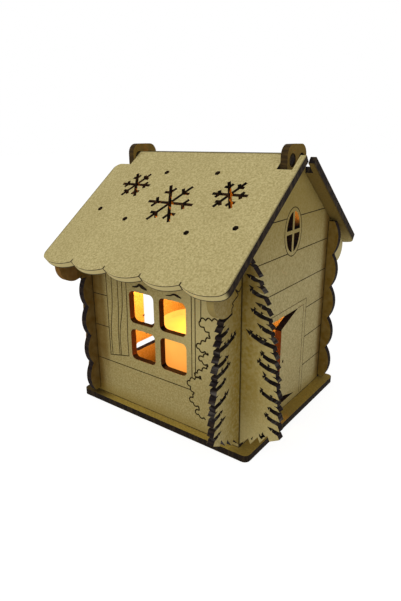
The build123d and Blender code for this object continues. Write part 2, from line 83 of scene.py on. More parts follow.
class Graph:
    """Node tree of one material, with short calls for the nodes that the finishes use."""

    def __init__(self, name: str) -> None:
        """Start an empty tree.

        Args:
            name: Name of the material.
        """
        self.material = bpy.data.materials.new(name)
        self.material.use_nodes = True
        self.tree = self.material.node_tree
        self.tree.nodes.clear()
        self.output = self.tree.nodes.new("ShaderNodeOutputMaterial")
        self.place = self.add("TexCoord").outputs["Object"]

    def add(self, kind: str, **options: object) -> bpy.types.Node:
        """Add a node.

        Args:
            kind: Node type without its common prefix.
            **options: Attributes to set on the node.

        Returns:
            The new node.
        """
        node = self.tree.nodes.new("ShaderNode" + kind)
        for name, value in options.items():
            setattr(node, name, value)
        return node

    def feed(self, socket: Socket, value: object) -> None:
        """Link another node's output to a socket, or set a plain value on it.

        Args:
            socket: Input to feed.
            value: Output socket, number, vector or colour.
        """
        if isinstance(value, bpy.types.NodeSocket):
            self.tree.links.new(value, socket)
        elif socket.type == "RGBA":
            socket.default_value = (*value, 1.0)
        else:
            socket.default_value = value

    def maths(
        self, operation: str, first: object, second: object = 0.0, third: object = 0.0
    ) -> Socket:
        """Combine numbers.

        Args:
            operation: Blender's name of the operation.
            first: First number or output.
            second: Second number or output.
            third: Third number or output, for the operations that take one.

        Returns:
            Output with the result.
        """
        node = self.add("Math", operation=operation)
        for socket, value in zip(node.inputs, (first, second, third)):
            self.feed(socket, value)
        return node.outputs[0]

    def times(self, first: object, *others: object) -> Socket:
        """Product of numbers or outputs."""
        result = first
        for other in others:
            result = self.maths("MULTIPLY", result, other)
        return result

    def along(self, direction: Vector, offset: float) -> Socket:
        """Distance of a point from a plane.

        Args:
            direction: Unit normal of the plane.
            offset: Distance of the plane from the origin, in metres.

        Returns:
            Output with the signed distance in metres.
        """
        node = self.add("VectorMath", operation="DOT_PRODUCT")
        self.feed(node.inputs[0], self.place)
        self.feed(node.inputs[1], tuple(direction))
        return self.maths("SUBTRACT", node.outputs["Value"], offset)

    def size(self, value: Socket) -> Socket:
        """Value without its sign."""
        return self.maths("ABSOLUTE", value)

    def rise(
        self, value: Socket, low: float, high: float, least: float = 0.0, most: float = 1.0
    ) -> Socket:
        """Smooth step from least at low to most at high, where low may be the greater.

        Args:
            value: Number to look up.
            low: Value that gives the least.
            high: Value that gives the most.
            least: Result at low and before it.
            most: Result at high and past it.

        Returns:
            Output with the result.
        """
        node = self.add("MapRange", interpolation_type="SMOOTHSTEP")
        (start, first), (end, last) = sorted(((low, least), (high, most)))
        self.feed(node.inputs["Value"], value)
        node.inputs["From Min"].default_value = start
        node.inputs["From Max"].default_value = end
        node.inputs["To Min"].default_value = first
        node.inputs["To Max"].default_value = last
        return node.outputs["Result"]

    def within(self, direction: Vector, span: Span) -> Socket:
        """1 between two planes across a direction and 0 outside, with a narrow step at each.

        Args:
            direction: Unit normal of the planes.
            span: Places of the two planes in millimetres.

        Returns:
            Output between 0 and 1.
        """
        place = self.along(direction, 0.0)
        low, high = span
        start = self.rise(place, (low - HARD_STEP) * MM, (low + HARD_STEP) * MM)
        end = self.rise(place, (high + HARD_STEP) * MM, (high - HARD_STEP) * MM)
        return self.times(start, end)

    def either(self, first: Socket, *others: Socket) -> Socket:
        """Largest of several outputs."""
        result = first
        for other in others:
            result = self.maths("MAXIMUM", result, other)
        return result

    def noise(self, size: float, detail: float, stretch: Colour = EVEN) -> Socket:
        """Cloudy noise in the object's own space.

        Args:
            size: Size of its lumps in millimetres.
            detail: Octaves of finer noise.
            stretch: How much finer the noise is along each axis.

        Returns:
            Output around 0.5.
        """
        spread = self.add("Mapping")
        self.feed(spread.inputs["Vector"], self.place)
        spread.inputs["Scale"].default_value = stretch
        node = self.add("TexNoise")
        self.feed(node.inputs["Vector"], spread.outputs["Vector"])
        node.inputs["Scale"].default_value = 1.0 / (size * MM)
        node.inputs["Detail"].default_value = detail
        return node.outputs["Fac"]

    def mix(self, factor: object, first: object, second: object) -> Socket:
        """Blend two colours.

        Args:
            factor: Share of the second colour.
            first: Colour or output at 0.
            second: Colour or output at 1.

        Returns:
            Output with the colour.
        """
        node = self.add("Mix", data_type="RGBA")
        self.feed(node.inputs[MIX_FACTOR], factor)
        self.feed(node.inputs[MIX_FIRST], first)
        self.feed(node.inputs[MIX_SECOND], second)
        return node.outputs[MIX_RESULT]

    def grain(self, size: float, detail: float, depth: float) -> Socket:
        """Bump from noise.

        Args:
            size: Size of its lumps in millimetres.
            detail: Octaves of finer noise.
            depth: Height of the relief in millimetres.

        Returns:
            Output with the bent normal.
        """
        node = self.add("Bump")
        node.inputs["Distance"].default_value = depth * MM
        self.feed(node.inputs["Height"], self.noise(size, detail))
        return node.outputs["Normal"]

    def surface(self, **inputs: object) -> bpy.types.Material:
        """Close the tree with a principled surface.

        Args:
            **inputs: Inputs of the shader, with an underscore for each space of their names.

        Returns:
            The material.
        """
        shader = self.add("BsdfPrincipled")
        for name, value in inputs.items():
            self.feed(shader.inputs[name.replace("_", " ")], value)
        self.tree.links.new(shader.outputs["BSDF"], self.output.inputs["Surface"])
        return self.material


@dataclass(frozen=True)
class Speckle:
    """Noise cut to a mask.

    Attributes:
        size: Size of the noise's lumps in millimetres.
        detail: Octaves of finer noise.
        low: Noise that gives the least.
        high: Noise that gives the most.
        least: Least value of the mask.
        most: Greatest value of the mask.
    """

    size: float
    detail: float
    low: float
    high: float
    least: float = 0.0
    most: float = 1.0

    def mask(self, graph: Graph, stretch: Colour = EVEN) -> Socket:
        """Mask in the object's own space, finer along each axis by the stretch."""
        noise = graph.noise(self.size, self.detail, stretch)
        return graph.rise(noise, self.low, self.high, self.least, self.most)


@dataclass(frozen=True)
class Veil:
    """Smooth mask over a distance.

    Attributes:
        clear: Distance in millimetres that gives the least.
        full: Distance in millimetres that gives the most.
        least: Least value of the mask.
        most: Greatest value of the mask.
    """

    clear: float
    full: float
    least: float = 0.0
    most: float = 1.0

    def mask(self, graph: Graph, distance: Socket) -> Socket:
        """Mask for a distance in metres."""
        return graph.rise(distance, self.clear * MM, self.full * MM, self.least, self.most)


# Fibres, drifts and flecks of a face, streaks of an edge, grey streaks of ashes and painted sheen
# on the firs' edges, and mottle and grit of the smoky stains and painted shade.
FIBRES = Speckle(0.80, 4.0, 0.37, 0.63)
DRIFT = Speckle(24.0, 2.0, 0.30, 0.72, most=0.16)
FLECKS = Speckle(0.68, 2.0, 0.57, 0.69, most=0.55)
STREAKS = Speckle(0.9, 3.0, 0.40, 0.72)
HEAD_STREAKS = replace(STREAKS, least=0.20, most=0.42)
ASH_AND_SHEEN_STREAKS = Speckle(1.9, 3.0, 0.50, 0.68, most=0.85)
STREAK_DRAWN = 0.85  # how far the streaks are drawn out across the board
MOTTLE = Speckle(3.2, 3.0, 0.20, 0.80, least=0.90, most=1.08)
GRIT = Speckle(1.3, 3.0, 0.30, 0.70, least=0.70, most=1.20)

# Edges that differ from the charred ones, among them painted light and painted shade: spans along
# the wall and up.
WINDOW_ALONG, WINDOW_UP = (-18.0, 18.0), (25.0, 59.5)
SILLS_UP = ((25.0, 27.7), (42.4, 45.1))
DOOR_ALONG, DOOR_UP = (-6.8, -5.6), (11.0, 42.0)
OVAL_ALONG, OVAL_UP = (1.0, 6.5), (80.0, 92.0)
TAILS_ALONG, TAILS_UP = ((-60.0, -46.5), (46.5, 60.0)), (61.0, 90.0)
BACK_HALF = (0.0, 60.0)
PINS_ALONG = ((-42.0, -37.9), (37.9, 42.0))

# By depth below the face.
ON_FACE = Veil(0.06, 0.01)
PALE_DEPTH = Veil(0.30, 0.55)

# Roof boards: down the slope past the eave's cusps, from a cusp, past the rake, from the ridge.
EAVE = Veil(-1.6, 0.4)
# Sooty stains and painted shade on the underside, deeper in from the eave.
LINING = Veil(4.0, -16.0, most=0.85)
TICK_FOOT, TICK = Veil(-1.4, -0.8), Veil(0.50, 0.12)
RAKE = Veil(-0.8, -0.1, most=0.55)
RIDGE = Veil(-1.2, -2.0, most=0.55)
PIN = Veil(3.5, 3.0, most=0.90)

# Base: along the ridge's axis. Sooty stains and painted shade towards the gables, darkest in the
# corner under the logs.
LEDGE_LEFT = Veil(-24.0, -42.0, most=0.85)
LEDGE_RIGHT = Veil(37.0, 42.5, most=0.52)
LEDGE_CORNER = Veil(-26.0, -40.0, most=0.70)

# Walls: outwards past the crossing wall at the logs, and from the joints. Sooty stains and painted
# shade gather in the corners and on the logs.
CORNER, CORNER_SHARE = Veil(-18.0, 3.0), 0.72
WIDE = Veil(-70.0, 0.0, most=0.10)
NOOK = Veil(-11.0, -3.5, most=0.92)
LOGS = Veil(-0.2, 0.2, most=0.92)
PANEL = Veil(-13.5, -8.0, most=0.84)
SEAM = Veil(0.60, 0.15, most=0.85)
JOINT = Veil(0.55, 0.15, most=0.85)

# Walls: along a long wall, and upwards. Painted light on the front wall right of the window,
# painted shade under the gable's apex and at the feet, and the oval's painted light.
PAINTED_LIGHT_ALONG = Veil(-4.0, 26.0, most=0.62)
PAINTED_LIGHT_UP = Veil(18.0, 52.0)
PANEL_UP = Veil(14.0, 27.0, least=0.45)
APEX_UP = Veil(54.0, 100.0, most=0.74)
OVAL_LIGHT_UP = Veil(84.5, 90.0)
HEAD_UP = Veil(103.0, 109.5, most=0.85)
HEAD_EDGE_UP = Veil(103.0, 108.0)
FOOT_UP = Veil(11.0, 3.0, most=0.55)

# Firs: outwards past the crossing wall, and upwards. Olive painted shade near the crease, paler at
# the front fir's foot and darker towards the tips.
FIR = Veil(-6.0, 0.5)
FIR_FOOT = replace(FIR, least=1.0, most=0.25)
FIR_EDGE = Veil(0.0, 1.0)
FIR_FADE = Veil(16.0, 0.0, least=0.22, most=0.92)
FIR_SHADE_UP = Veil(6.0, 34.0, least=0.15)
FIR_PALE_UP = Veil(34.0, 8.0, most=0.45)
FIR_TIP_UP = Veil(34.0, 72.0, most=0.38)


class Growth(Enum):
    """Axis along which a board grows past the walls that cross it."""

    ALONG_X = (1.0, 0.0, 0.0)
    ALONG_Y = (0.0, 1.0, 0.0)
    NONE = (0.0, 0.0, 0.0)


@dataclass(frozen=True)
class BoardPlane:
    """Where a board stands and what grows out of it.

    Attributes:
        normal: Unit vector across the board.
        middle: Distance of its middle plane from the origin along that vector, in metres.
        growth: Axis along which it grows past the crossing walls.
        reach: Half length between the outer faces of those walls, or of a roof board, in metres.
        fir: 1 or -1 for the end of that axis where a fir grows, 0 where both ends are logs.
        eave: Distance of the eave's cusps down the slope from the ridge, in metres, or None.
        ridge: A point on the ridge side from which that distance is taken.
    """

    normal: Vector
    middle: float
    growth: Growth = Growth.NONE
    reach: float = 0.0
    fir: int = 0
    eave: float | None = None
    ridge: Vector = field(default_factory=Vector)

    def fall(self, graph: Graph, start: float = 0.0) -> Socket:
        """Distance down the slope of a roof board from its ridge, less a start, in metres."""
        downhill = Vector((0.0, self.normal.y, 0.0)).normalized()
        downhill = (downhill - self.normal * downhill.dot(self.normal)).normalized()
        return graph.along(downhill, downhill.dot(self.ridge) + start)

    def grown(self, graph: Graph) -> Socket:
        """Distance out along the fir's end of the board, past the crossing wall, in metres."""
        return graph.along(Vector(self.growth.value) * self.fir, self.reach)


@dataclass(frozen=True)
class BoardFinish:
    """Bare fibre board with burnt edges, smoky stains, and painted light and shade.

    Attributes:
        face: Darker fibres of a clean face.
        light: Paler fibres of a clean face.
        fleck: Sparse dark flecks and slow drifts of tone, and painted shade on the edges of the
            right gable's front rafter tails.
        soot_and_shade: Sooty stains and painted shade on the log ends and in the corners beside
            them, on the base by the gables and at the firs' tips.
        olive_shade: Olive painted shade on the firs near the crease, under the gable's apex and at
            the walls' feet.
        head: Darker brown on the gable heads.
        lining: Sooty stains and painted shade on the underside of a roof board.
        crease: Dark joint between two boards.
        burnt: Charred edge.
        singed: Brown streaks of that edge.
        ash_and_sheen: Grey streaks of ashes and painted sheen on the firs' edges.
        pale_edge: Pale colour painted as light on the eaves' edges, on the back rafter tails'
            edges and on the front wall right of the window, also at the foot of the front fir.
        pane_edge: Sides of the window panes.
        sill_edge: Feet of the window panes, blacker than the charred edge as painted shade.
        door_edge: Free edge of the door's leaf, red-orange as partly painted light of the
            tealight.
        oval_edge: Upper edge of the oval window, painted light of the tealight.
        tail: Sooty stains and painted shade on the rafter tails beside the log ends, also on the
            left gable's tail edges.
        sheet: Thickness of the board in millimetres.
        scallops: Number of scallops along an eave.
        roughness: Roughness of the face.
        specular: Specular level of the face.
    """

    face: Colour = (0.450, 0.373, 0.172)
    light: Colour = (0.592, 0.505, 0.262)
    fleck: Colour = (0.300, 0.232, 0.082)
    soot_and_shade: Colour = (0.134, 0.072, 0.010)
    olive_shade: Colour = (0.285, 0.198, 0.036)
    head: Colour = (0.160, 0.094, 0.017)
    lining: Colour = (0.180, 0.112, 0.017)
    crease: Colour = (0.030, 0.020, 0.007)
    burnt: Colour = (0.010, 0.007, 0.008)
    singed: Colour = (0.034, 0.022, 0.014)
    ash_and_sheen: Colour = (0.105, 0.092, 0.080)
    pale_edge: Colour = (0.620, 0.525, 0.245)
    pane_edge: Colour = (0.110, 0.034, 0.007)
    sill_edge: Colour = (0.005, 0.002, 0.001)
    door_edge: Colour = (0.300, 0.085, 0.018)
    oval_edge: Colour = (0.780, 0.390, 0.060)
    tail: Colour = (0.185, 0.092, 0.020)
    sheet: float = 3.0
    scallops: int = 5
    roughness: float = 0.78
    specular: float = 0.06

    def face_colour(self, graph: Graph) -> Socket:
        """Fibres of about a millimetre, slow drifts of tone and sparse dark flecks.

        Args:
            graph: Tree to add to.

        Returns:
            Output with the colour.
        """
        colour = graph.mix(FIBRES.mask(graph), self.face, self.light)
        colour = graph.mix(DRIFT.mask(graph), colour, self.fleck)
        return graph.mix(FLECKS.mask(graph), colour, self.fleck)

    def edge_colour(self, graph: Graph, plane: BoardPlane, below: Socket) -> Socket:
        """Charred edge with streaks across the board, grey streaks of ashes and painted sheen on
        the firs, and the edges that differ from it, among them painted light and painted shade.

        Args:
            graph: Tree to add to.
            plane: Where the board stands.
            below: Depth below the nearer face in metres.

        Returns:
            Output with the colour.
        """
        stretch = tuple(1.0 - STREAK_DRAWN * abs(part) for part in plane.normal)
        colour = graph.mix(STREAKS.mask(graph, stretch), self.burnt, self.singed)
        if plane.fir:
            grown = FIR_EDGE.mask(graph, plane.grown(graph))
            # Grey streaks of ashes and painted sheen on the fir's cut edges.
            grey = graph.times(ASH_AND_SHEEN_STREAKS.mask(graph, stretch), grown)
            colour = graph.mix(grey, colour, self.ash_and_sheen)
        if plane.eave is not None:
            # Painted light: the eaves' edges turn pale, keeping a charred rim by the faces and
            # charred ticks at the cusps.
            pale = graph.mix(STREAKS.mask(graph, stretch), self.pale_edge, self.light)
            eave = EAVE.mask(graph, plane.fall(graph, plane.eave))
            free = graph.maths("SUBTRACT", 1.0, self.ticks(graph, plane))
            return graph.mix(graph.times(eave, PALE_DEPTH.mask(graph, below), free), colour, pale)
        if plane.growth is Growth.ALONG_Y:
            return self.gable_edge(graph, plane, stretch, colour)
        return self.window_edge(graph, colour) if plane.fir else colour

    def gable_edge(
        self, graph: Graph, plane: BoardPlane, stretch: Colour, colour: Socket
    ) -> Socket:
        """Edges of a gable: the door's leaf and the oval window in painted light, brown heads, and
        the tails, on the right gable in painted shade at the front and painted light at the back.

        Args:
            graph: Tree to add to.
            plane: Where the board stands.
            stretch: Stretch of the streaks.
            colour: Colour of the charred edge.

        Returns:
            Output with the colour.
        """
        height = graph.along(UP, 0.0)
        end = self.tail
        if plane.fir:
            # The leaf's free edge turns red-orange as partly painted light, and the oval's upper
            # edge takes painted light.
            door = graph.times(graph.within(BACK, DOOR_ALONG), graph.within(UP, DOOR_UP))
            colour = graph.mix(door, colour, self.door_edge)
            oval = graph.times(graph.within(BACK, OVAL_ALONG), graph.within(UP, OVAL_UP))
            lit = graph.times(oval, OVAL_LIGHT_UP.mask(graph, height))
            colour = graph.mix(lit, colour, self.oval_edge)
            # The right gable's front tails' edges take the fleck colour as painted shade, its back
            # tails' edges the pale colour as painted light.
            end = graph.mix(graph.within(BACK, BACK_HALF), self.fleck, self.pale_edge)
        brown = graph.times(HEAD_EDGE_UP.mask(graph, height), HEAD_STREAKS.mask(graph, stretch))
        colour = graph.mix(brown, colour, self.head)
        return graph.mix(self.tails(graph), colour, end)

    def window_edge(self, graph: Graph, colour: Socket) -> Socket:
        """Brown sides of the window panes, and their feet darkened as painted shade.

        Args:
            graph: Tree to add to.
            colour: Colour of the charred edge.

        Returns:
            Output with the colour.
        """
        window = graph.times(graph.within(RIGHT, WINDOW_ALONG), graph.within(UP, WINDOW_UP))
        # The panes' feet are darkened as painted shade.
        sill = graph.either(*(graph.within(UP, span) for span in SILLS_UP))
        return graph.mix(window, colour, graph.mix(sill, self.pane_edge, self.sill_edge))

    def ticks(self, graph: Graph, plane: BoardPlane) -> Socket:
        """Mask of the burnt ticks at the eave's cusps, from the distance to the nearest cusp.

        Args:
            graph: Tree to add to.
            plane: Where the board stands.

        Returns:
            Output between 0 and 1.
        """
        width = 2.0 * plane.reach / self.scallops
        place = graph.maths("DIVIDE", graph.along(RIGHT, -plane.reach - width / 2), width)
        share = graph.maths("SUBTRACT", graph.maths("FRACT", place), 0.5)
        cusp = graph.times(graph.size(share), width)
        foot = TICK_FOOT.mask(graph, plane.fall(graph, plane.eave))
        return graph.times(TICK.mask(graph, cusp), foot)

    def tails(self, graph: Graph) -> Socket:
        """Mask of the rafter tails of a gable."""
        outer = graph.either(*(graph.within(BACK, span) for span in TAILS_ALONG))
        return graph.times(outer, graph.within(UP, TAILS_UP))

    def lined(self, graph: Graph, plane: BoardPlane, colour: Socket) -> Socket:
        """Sooty stains and painted shade on the underside of a roof board, less towards its eave,
        and darker on its rims and round its pins.

        Args:
            graph: Tree to add to.
            plane: Where the board stands.
            colour: Colour of the clean face.

        Returns:
            Output with the colour.
        """
        fall = plane.fall(graph)
        under = Veil(0.0, -self.sheet / 2).mask(graph, graph.along(plane.normal, plane.middle))
        inner = LINING.mask(graph, plane.fall(graph, plane.eave))
        # Sooty stains and painted shade on the underside, deeper in from the eave.
        colour = graph.mix(graph.times(under, inner), colour, self.lining)
        past = graph.maths("SUBTRACT", graph.size(graph.along(RIGHT, 0.0)), plane.reach)
        rim = graph.either(RAKE.mask(graph, past), RIDGE.mask(graph, fall))
        colour = graph.mix(rim, colour, self.crease)
        ends = graph.either(*(graph.within(RIGHT, span) for span in PINS_ALONG))
        pins = graph.times(ends, PIN.mask(graph, graph.size(fall)))
        return graph.mix(graph.either(pins, self.ticks(graph, plane)), colour, self.crease)

    def ledge(self, graph: Graph, colour: Socket) -> Socket:
        """Sooty stains and painted shade on the base where it passes the gables, darkest in the
        corner under the logs.

        Args:
            graph: Tree to add to.
            colour: Colour of the clean face.

        Returns:
            Output with the colour.
        """
        place = graph.along(RIGHT, 0.0)
        # Sooty stains and painted shade towards the gables, darkest in the corner under the logs.
        dark = graph.either(LEDGE_LEFT.mask(graph, place), LEDGE_RIGHT.mask(graph, place))
        colour = graph.mix(dark, colour, self.soot_and_shade)
        return graph.mix(LEDGE_CORNER.mask(graph, place), colour, self.crease)

    def stained_and_shaded(self, graph: Graph, plane: BoardPlane, colour: Socket) -> Socket:
        """Sooty stains and painted shade on the logs, the firs and in the corners, painted light
        right of the window, darker heads, painted shade at the feet, and the dark creases.

        Args:
            graph: Tree to add to.
            plane: Where the board stands.
            colour: Colour of the clean face.

        Returns:
            Output with the colour.
        """
        mottle = MOTTLE.mask(graph)
        place = graph.along(Vector(plane.growth.value), 0.0)
        height = graph.along(UP, 0.0)
        outwards = graph.times(place, -float(plane.fir)) if plane.fir else graph.size(place)
        past = graph.maths("SUBTRACT", outwards, plane.reach)
        corner = CORNER.mask(graph, past)
        # Sooty stains and painted shade in the corners, on the logs and on the strip beside them.
        smoke_and_shade = graph.times(corner, corner)
        smoke_and_shade = graph.maths("MULTIPLY_ADD", smoke_and_shade, CORNER_SHARE, WIDE.mask(graph, past))
        smoke_and_shade = graph.either(smoke_and_shade, NOOK.mask(graph, past), LOGS.mask(graph, past))
        if plane.growth is Growth.ALONG_X:
            # Painted light: the front wall turns paler right of the window.
            painted_light = graph.times(PAINTED_LIGHT_ALONG.mask(graph, place), PAINTED_LIGHT_UP.mask(graph, height))
            colour = graph.mix(painted_light, colour, self.pale_edge)
            panel = graph.times(PANEL.mask(graph, past), PANEL_UP.mask(graph, height))
            smoke_and_shade = graph.times(graph.either(smoke_and_shade, panel), mottle)
            colour = graph.mix(smoke_and_shade, colour, self.soot_and_shade)
        else:
            # Painted shade under the gable's apex.
            colour = graph.mix(APEX_UP.mask(graph, height), colour, self.olive_shade)
            # On the rafter tails the sooty stains and painted shade take the tail colour, and on
            # the right gable the paler fibre colour.
            tail = self.light if plane.fir else self.tail
            stain_and_shade = graph.mix(self.tails(graph), self.soot_and_shade, tail)
            colour = graph.mix(graph.times(smoke_and_shade, mottle), colour, stain_and_shade)
            colour = graph.mix(graph.times(HEAD_UP.mask(graph, height), mottle), colour, self.head)
        seam = SEAM.mask(graph, graph.size(past))
        foot = graph.times(FOOT_UP.mask(graph, height), mottle)
        if plane.fir:
            grown = plane.grown(graph)
            colour = self.on_fir(graph, plane, grown, colour)
            seam = graph.either(seam, SEAM.mask(graph, graph.size(grown)))
            if plane.growth is Growth.ALONG_X:
                foot = graph.times(foot, FIR_FOOT.mask(graph, grown))
        # Painted shade at the walls' feet.
        colour = graph.mix(foot, colour, self.olive_shade)
        joint = JOINT.mask(graph, graph.size(graph.along(UP, self.sheet * MM)))
        return graph.mix(graph.either(seam, joint), colour, self.crease)

    def on_fir(self, graph: Graph, plane: BoardPlane, grown: Socket, colour: Socket) -> Socket:
        """Olive painted shade on a fir, fading outwards, and on the long wall's fir also towards
        its foot, which turns paler; darker towards the tips.

        Args:
            graph: Tree to add to.
            plane: Where the board stands.
            grown: Distance out past the crossing wall in metres.
            colour: Colour of the board so far.

        Returns:
            Output with the colour.
        """
        near, height = FIR.mask(graph, grown), graph.along(UP, 0.0)
        # Olive painted shade near the crease, and on the long wall's fir a paler foot.
        olive_shade = graph.times(near, FIR_FADE.mask(graph, grown), GRIT.mask(graph))
        if plane.growth is Growth.ALONG_X:
            olive_shade = graph.times(olive_shade, FIR_SHADE_UP.mask(graph, height))
            pale = graph.times(near, FIR_PALE_UP.mask(graph, height))
            colour = graph.mix(pale, colour, self.pale_edge)
        colour = graph.mix(olive_shade, colour, self.olive_shade)
        return graph.mix(graph.times(near, FIR_TIP_UP.mask(graph, height)), colour, self.soot_and_shade)

    def material(self, name: str, plane: BoardPlane) -> bpy.types.Material:
        """Finish of one board, told apart into faces and edges by the depth below its face.

        Args:
            name: Name of the material.
            plane: Where the board stands.

        Returns:
            The material.
        """
        graph = Graph(name)
        depth = graph.size(graph.along(plane.normal, plane.middle))
        below = graph.maths("SUBTRACT", self.sheet / 2 * MM, depth)
        face = self.face_colour(graph)
        if plane.growth is not Growth.NONE:
            face = self.stained_and_shaded(graph, plane, face)
        elif plane.eave is not None:
            face = self.lined(graph, plane, face)
        else:
            face = self.ledge(graph, face)
        edge = self.edge_colour(graph, plane, below)
        return graph.surface(
            Base_Color=graph.mix(ON_FACE.mask(graph, below), edge, face),
            Roughness=self.roughness,
            Normal=graph.grain(size=0.7, detail=3.0, depth=0.05),
            Specular_IOR_Level=self.specular,
        )


@dataclass(frozen=True)
class ScoreFinish:
    """Line scored into a board by a weak beam: brown to black, as matt as soot.

    Attributes:
        brown: Colour of the weaker burns.
        black: Colour of the stronger burns.
        burn: Spread of the weaker burns.
        roughness: Roughness of the line.
        specular: Specular level of the line.
    """

    brown: Colour = (0.075, 0.052, 0.019)
    black: Colour = (0.020, 0.013, 0.006)
    burn: Speckle = Speckle(2.5, 3.0, 0.35, 0.70)
    roughness: float = 0.95
    specular: float = 0.1

    def material(self, name: str) -> bpy.types.Material:
        """Finish of a set of lines, darker and paler along their length.

        Args:
            name: Name of the material.

        Returns:
            The material.
        """
        graph = Graph(name)
        return graph.surface(
            Base_Color=graph.mix(self.burn.mask(graph), self.black, self.brown),
            Roughness=self.roughness,
            Normal=graph.grain(size=0.4, detail=2.0, depth=0.03),
            Specular_IOR_Level=self.specular,
        )


FIR_INK = ScoreFinish(brown=(0.045, 0.03, 0.010))
BROW_INK = ScoreFinish(brown=(0.02, 0.014, 0.008))
BURN_INK = ScoreFinish(brown=(0.020, 0.014, 0.008), black=(0.010, 0.007, 0.006))
FAINT_INK = ScoreFinish(brown=(0.16, 0.12, 0.05), black=(0.07, 0.05, 0.02))


@dataclass(frozen=True)
class GlowFinish:
    """Translucent plastic lit from inside, brighter with height and towards its axis.

    Attributes:
        body: Colour of the plastic itself.
        low: Light that it gives at its foot.
        high: Light that it gives at its top.
        core: Light that it gives near its axis.
        foot: Height of the foot in millimetres.
        top: Height of the top in millimetres.
        core_reach: Distance from the axis at which the core's light has faded, in millimetres.
        roughness: Roughness of the skin.
        cloud: Soft clouds in the plastic.
        cloud_share: How far the clouds take the light back to that of the foot.
        cloud_shade: Shade of the plastic in the clouds.
    """

    body: Colour
    low: Colour
    high: Colour
    core: Colour
    foot: float
    top: float
    core_reach: float
    roughness: float = 0.45
    cloud: Speckle = Speckle(9.0, 2.0, 0.20, 0.80)
    cloud_share: float = 0.25
    cloud_shade: float = 0.9

    def material(self, name: str) -> bpy.types.Material:
        """Glow that climbs from the low to the high colour with soft clouds in the plastic.

        Args:
            name: Name of the material, and of the CAD node whose axis is taken.

        Returns:
            The material.
        """
        graph = Graph(name)
        low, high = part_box(name)
        climb = Veil(self.foot, self.top).mask(graph, graph.along(UP, 0.0))
        cloud = self.cloud.mask(graph)
        glow = graph.mix(climb, self.low, self.high)
        glow = graph.mix(graph.times(cloud, self.cloud_share), glow, self.low)
        across = graph.along(RIGHT, (low.x + high.x) / 2)
        deep = graph.along(BACK, (low.y + high.y) / 2)
        square = graph.maths("ADD", graph.times(across, across), graph.times(deep, deep))
        core = Veil(self.core_reach, 0.0).mask(graph, graph.maths("SQRT", square))
        shaded = tuple(self.cloud_shade * part for part in self.body)
        return graph.surface(
            Base_Color=graph.mix(cloud, self.body, shaded),
            Roughness=self.roughness,
            Normal=graph.grain(size=0.9, detail=2.0, depth=0.02),
            Emission_Color=graph.mix(core, glow, self.core),
            Emission_Strength=1.0,
        )


@dataclass(frozen=True)
class MouldedFinish:
    """Moulded plastic or plated metal with a fine skin and slight wear.

    Attributes:
        colour: Colour of the clean surface.
        worn: Colour where it is rubbed.
        metallic: 1 for metal.
        roughness: Roughness of the skin.
        wear: Clouds of wear.
        wear_rough: Roughness that the wear adds.
    """

    colour: Colour
    worn: Colour
    metallic: float = 0.0
    roughness: float = 0.5
    wear: Speckle = Speckle(3.0, 4.0, 0.45, 0.75)
    wear_rough: float = 0.15

    def material(self, name: str) -> bpy.types.Material:
        """Clean colour with clouds of wear, and a roughness that follows them.

        Args:
            name: Name of the material.

        Returns:
            The material.
        """
        graph = Graph(name)
        wear = self.wear.mask(graph)
        return graph.surface(
            Base_Color=graph.mix(wear, self.colour, self.worn),
            Metallic=self.metallic,
            Roughness=graph.maths("MULTIPLY_ADD", wear, self.wear_rough, self.roughness),
            Normal=graph.grain(size=0.3, detail=2.0, depth=0.01),
        )


class Face(Enum):
    """Board face that lines are scored on: the node, and the axes of its drawing in space."""

    FRONT = ("front_wall", (1, 0, 0), (0, -1, 0))
    BACK = ("back_wall", (-1, 0, 0), (0, 1, 0))
    RIGHT = ("right_gable", (0, 1, 0), (1, 0, 0))
    LEFT = ("left_gable", (0, -1, 0), (-1, 0, 0))
    LEFT_INSIDE = ("left_gable", (0, 1, 0), (1, 0, 0))

    def in_space(self, drawing: np.ndarray, lift: np.ndarray) -> np.ndarray:
        """Move points from the drawing of a face into the frame.

        The place is u along the face, v up, and the lift out of the face along its normal.

        Args:
            drawing: Array of u, v pairs in millimetres.
            lift: Height of each point above the face in millimetres.

        Returns:
            Array of places in metres.
        """
        node, across, normal = self.value
        low, high = (np.array(corner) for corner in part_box(node))
        outward = np.array(normal, float)
        level = np.maximum(outward * low, outward * high).sum()
        up = np.array((0.0, 0.0, 1.0))
        flat = drawing[..., :1] * np.array(across, float) + drawing[..., 1:] * up
        return flat * MM + (level + lift[..., None] * MM) * outward


RING_STEPS = 64  # points of a ring
BEND_STEPS = 8  # points of a bent line for each point that it goes through
LOBE_STEPS = 10  # points of a lobed line for each lobe
TINY = 1e-6  # least length that is divided by
MITRE_COSINE = 0.6  # cosine of the sharpest mitre


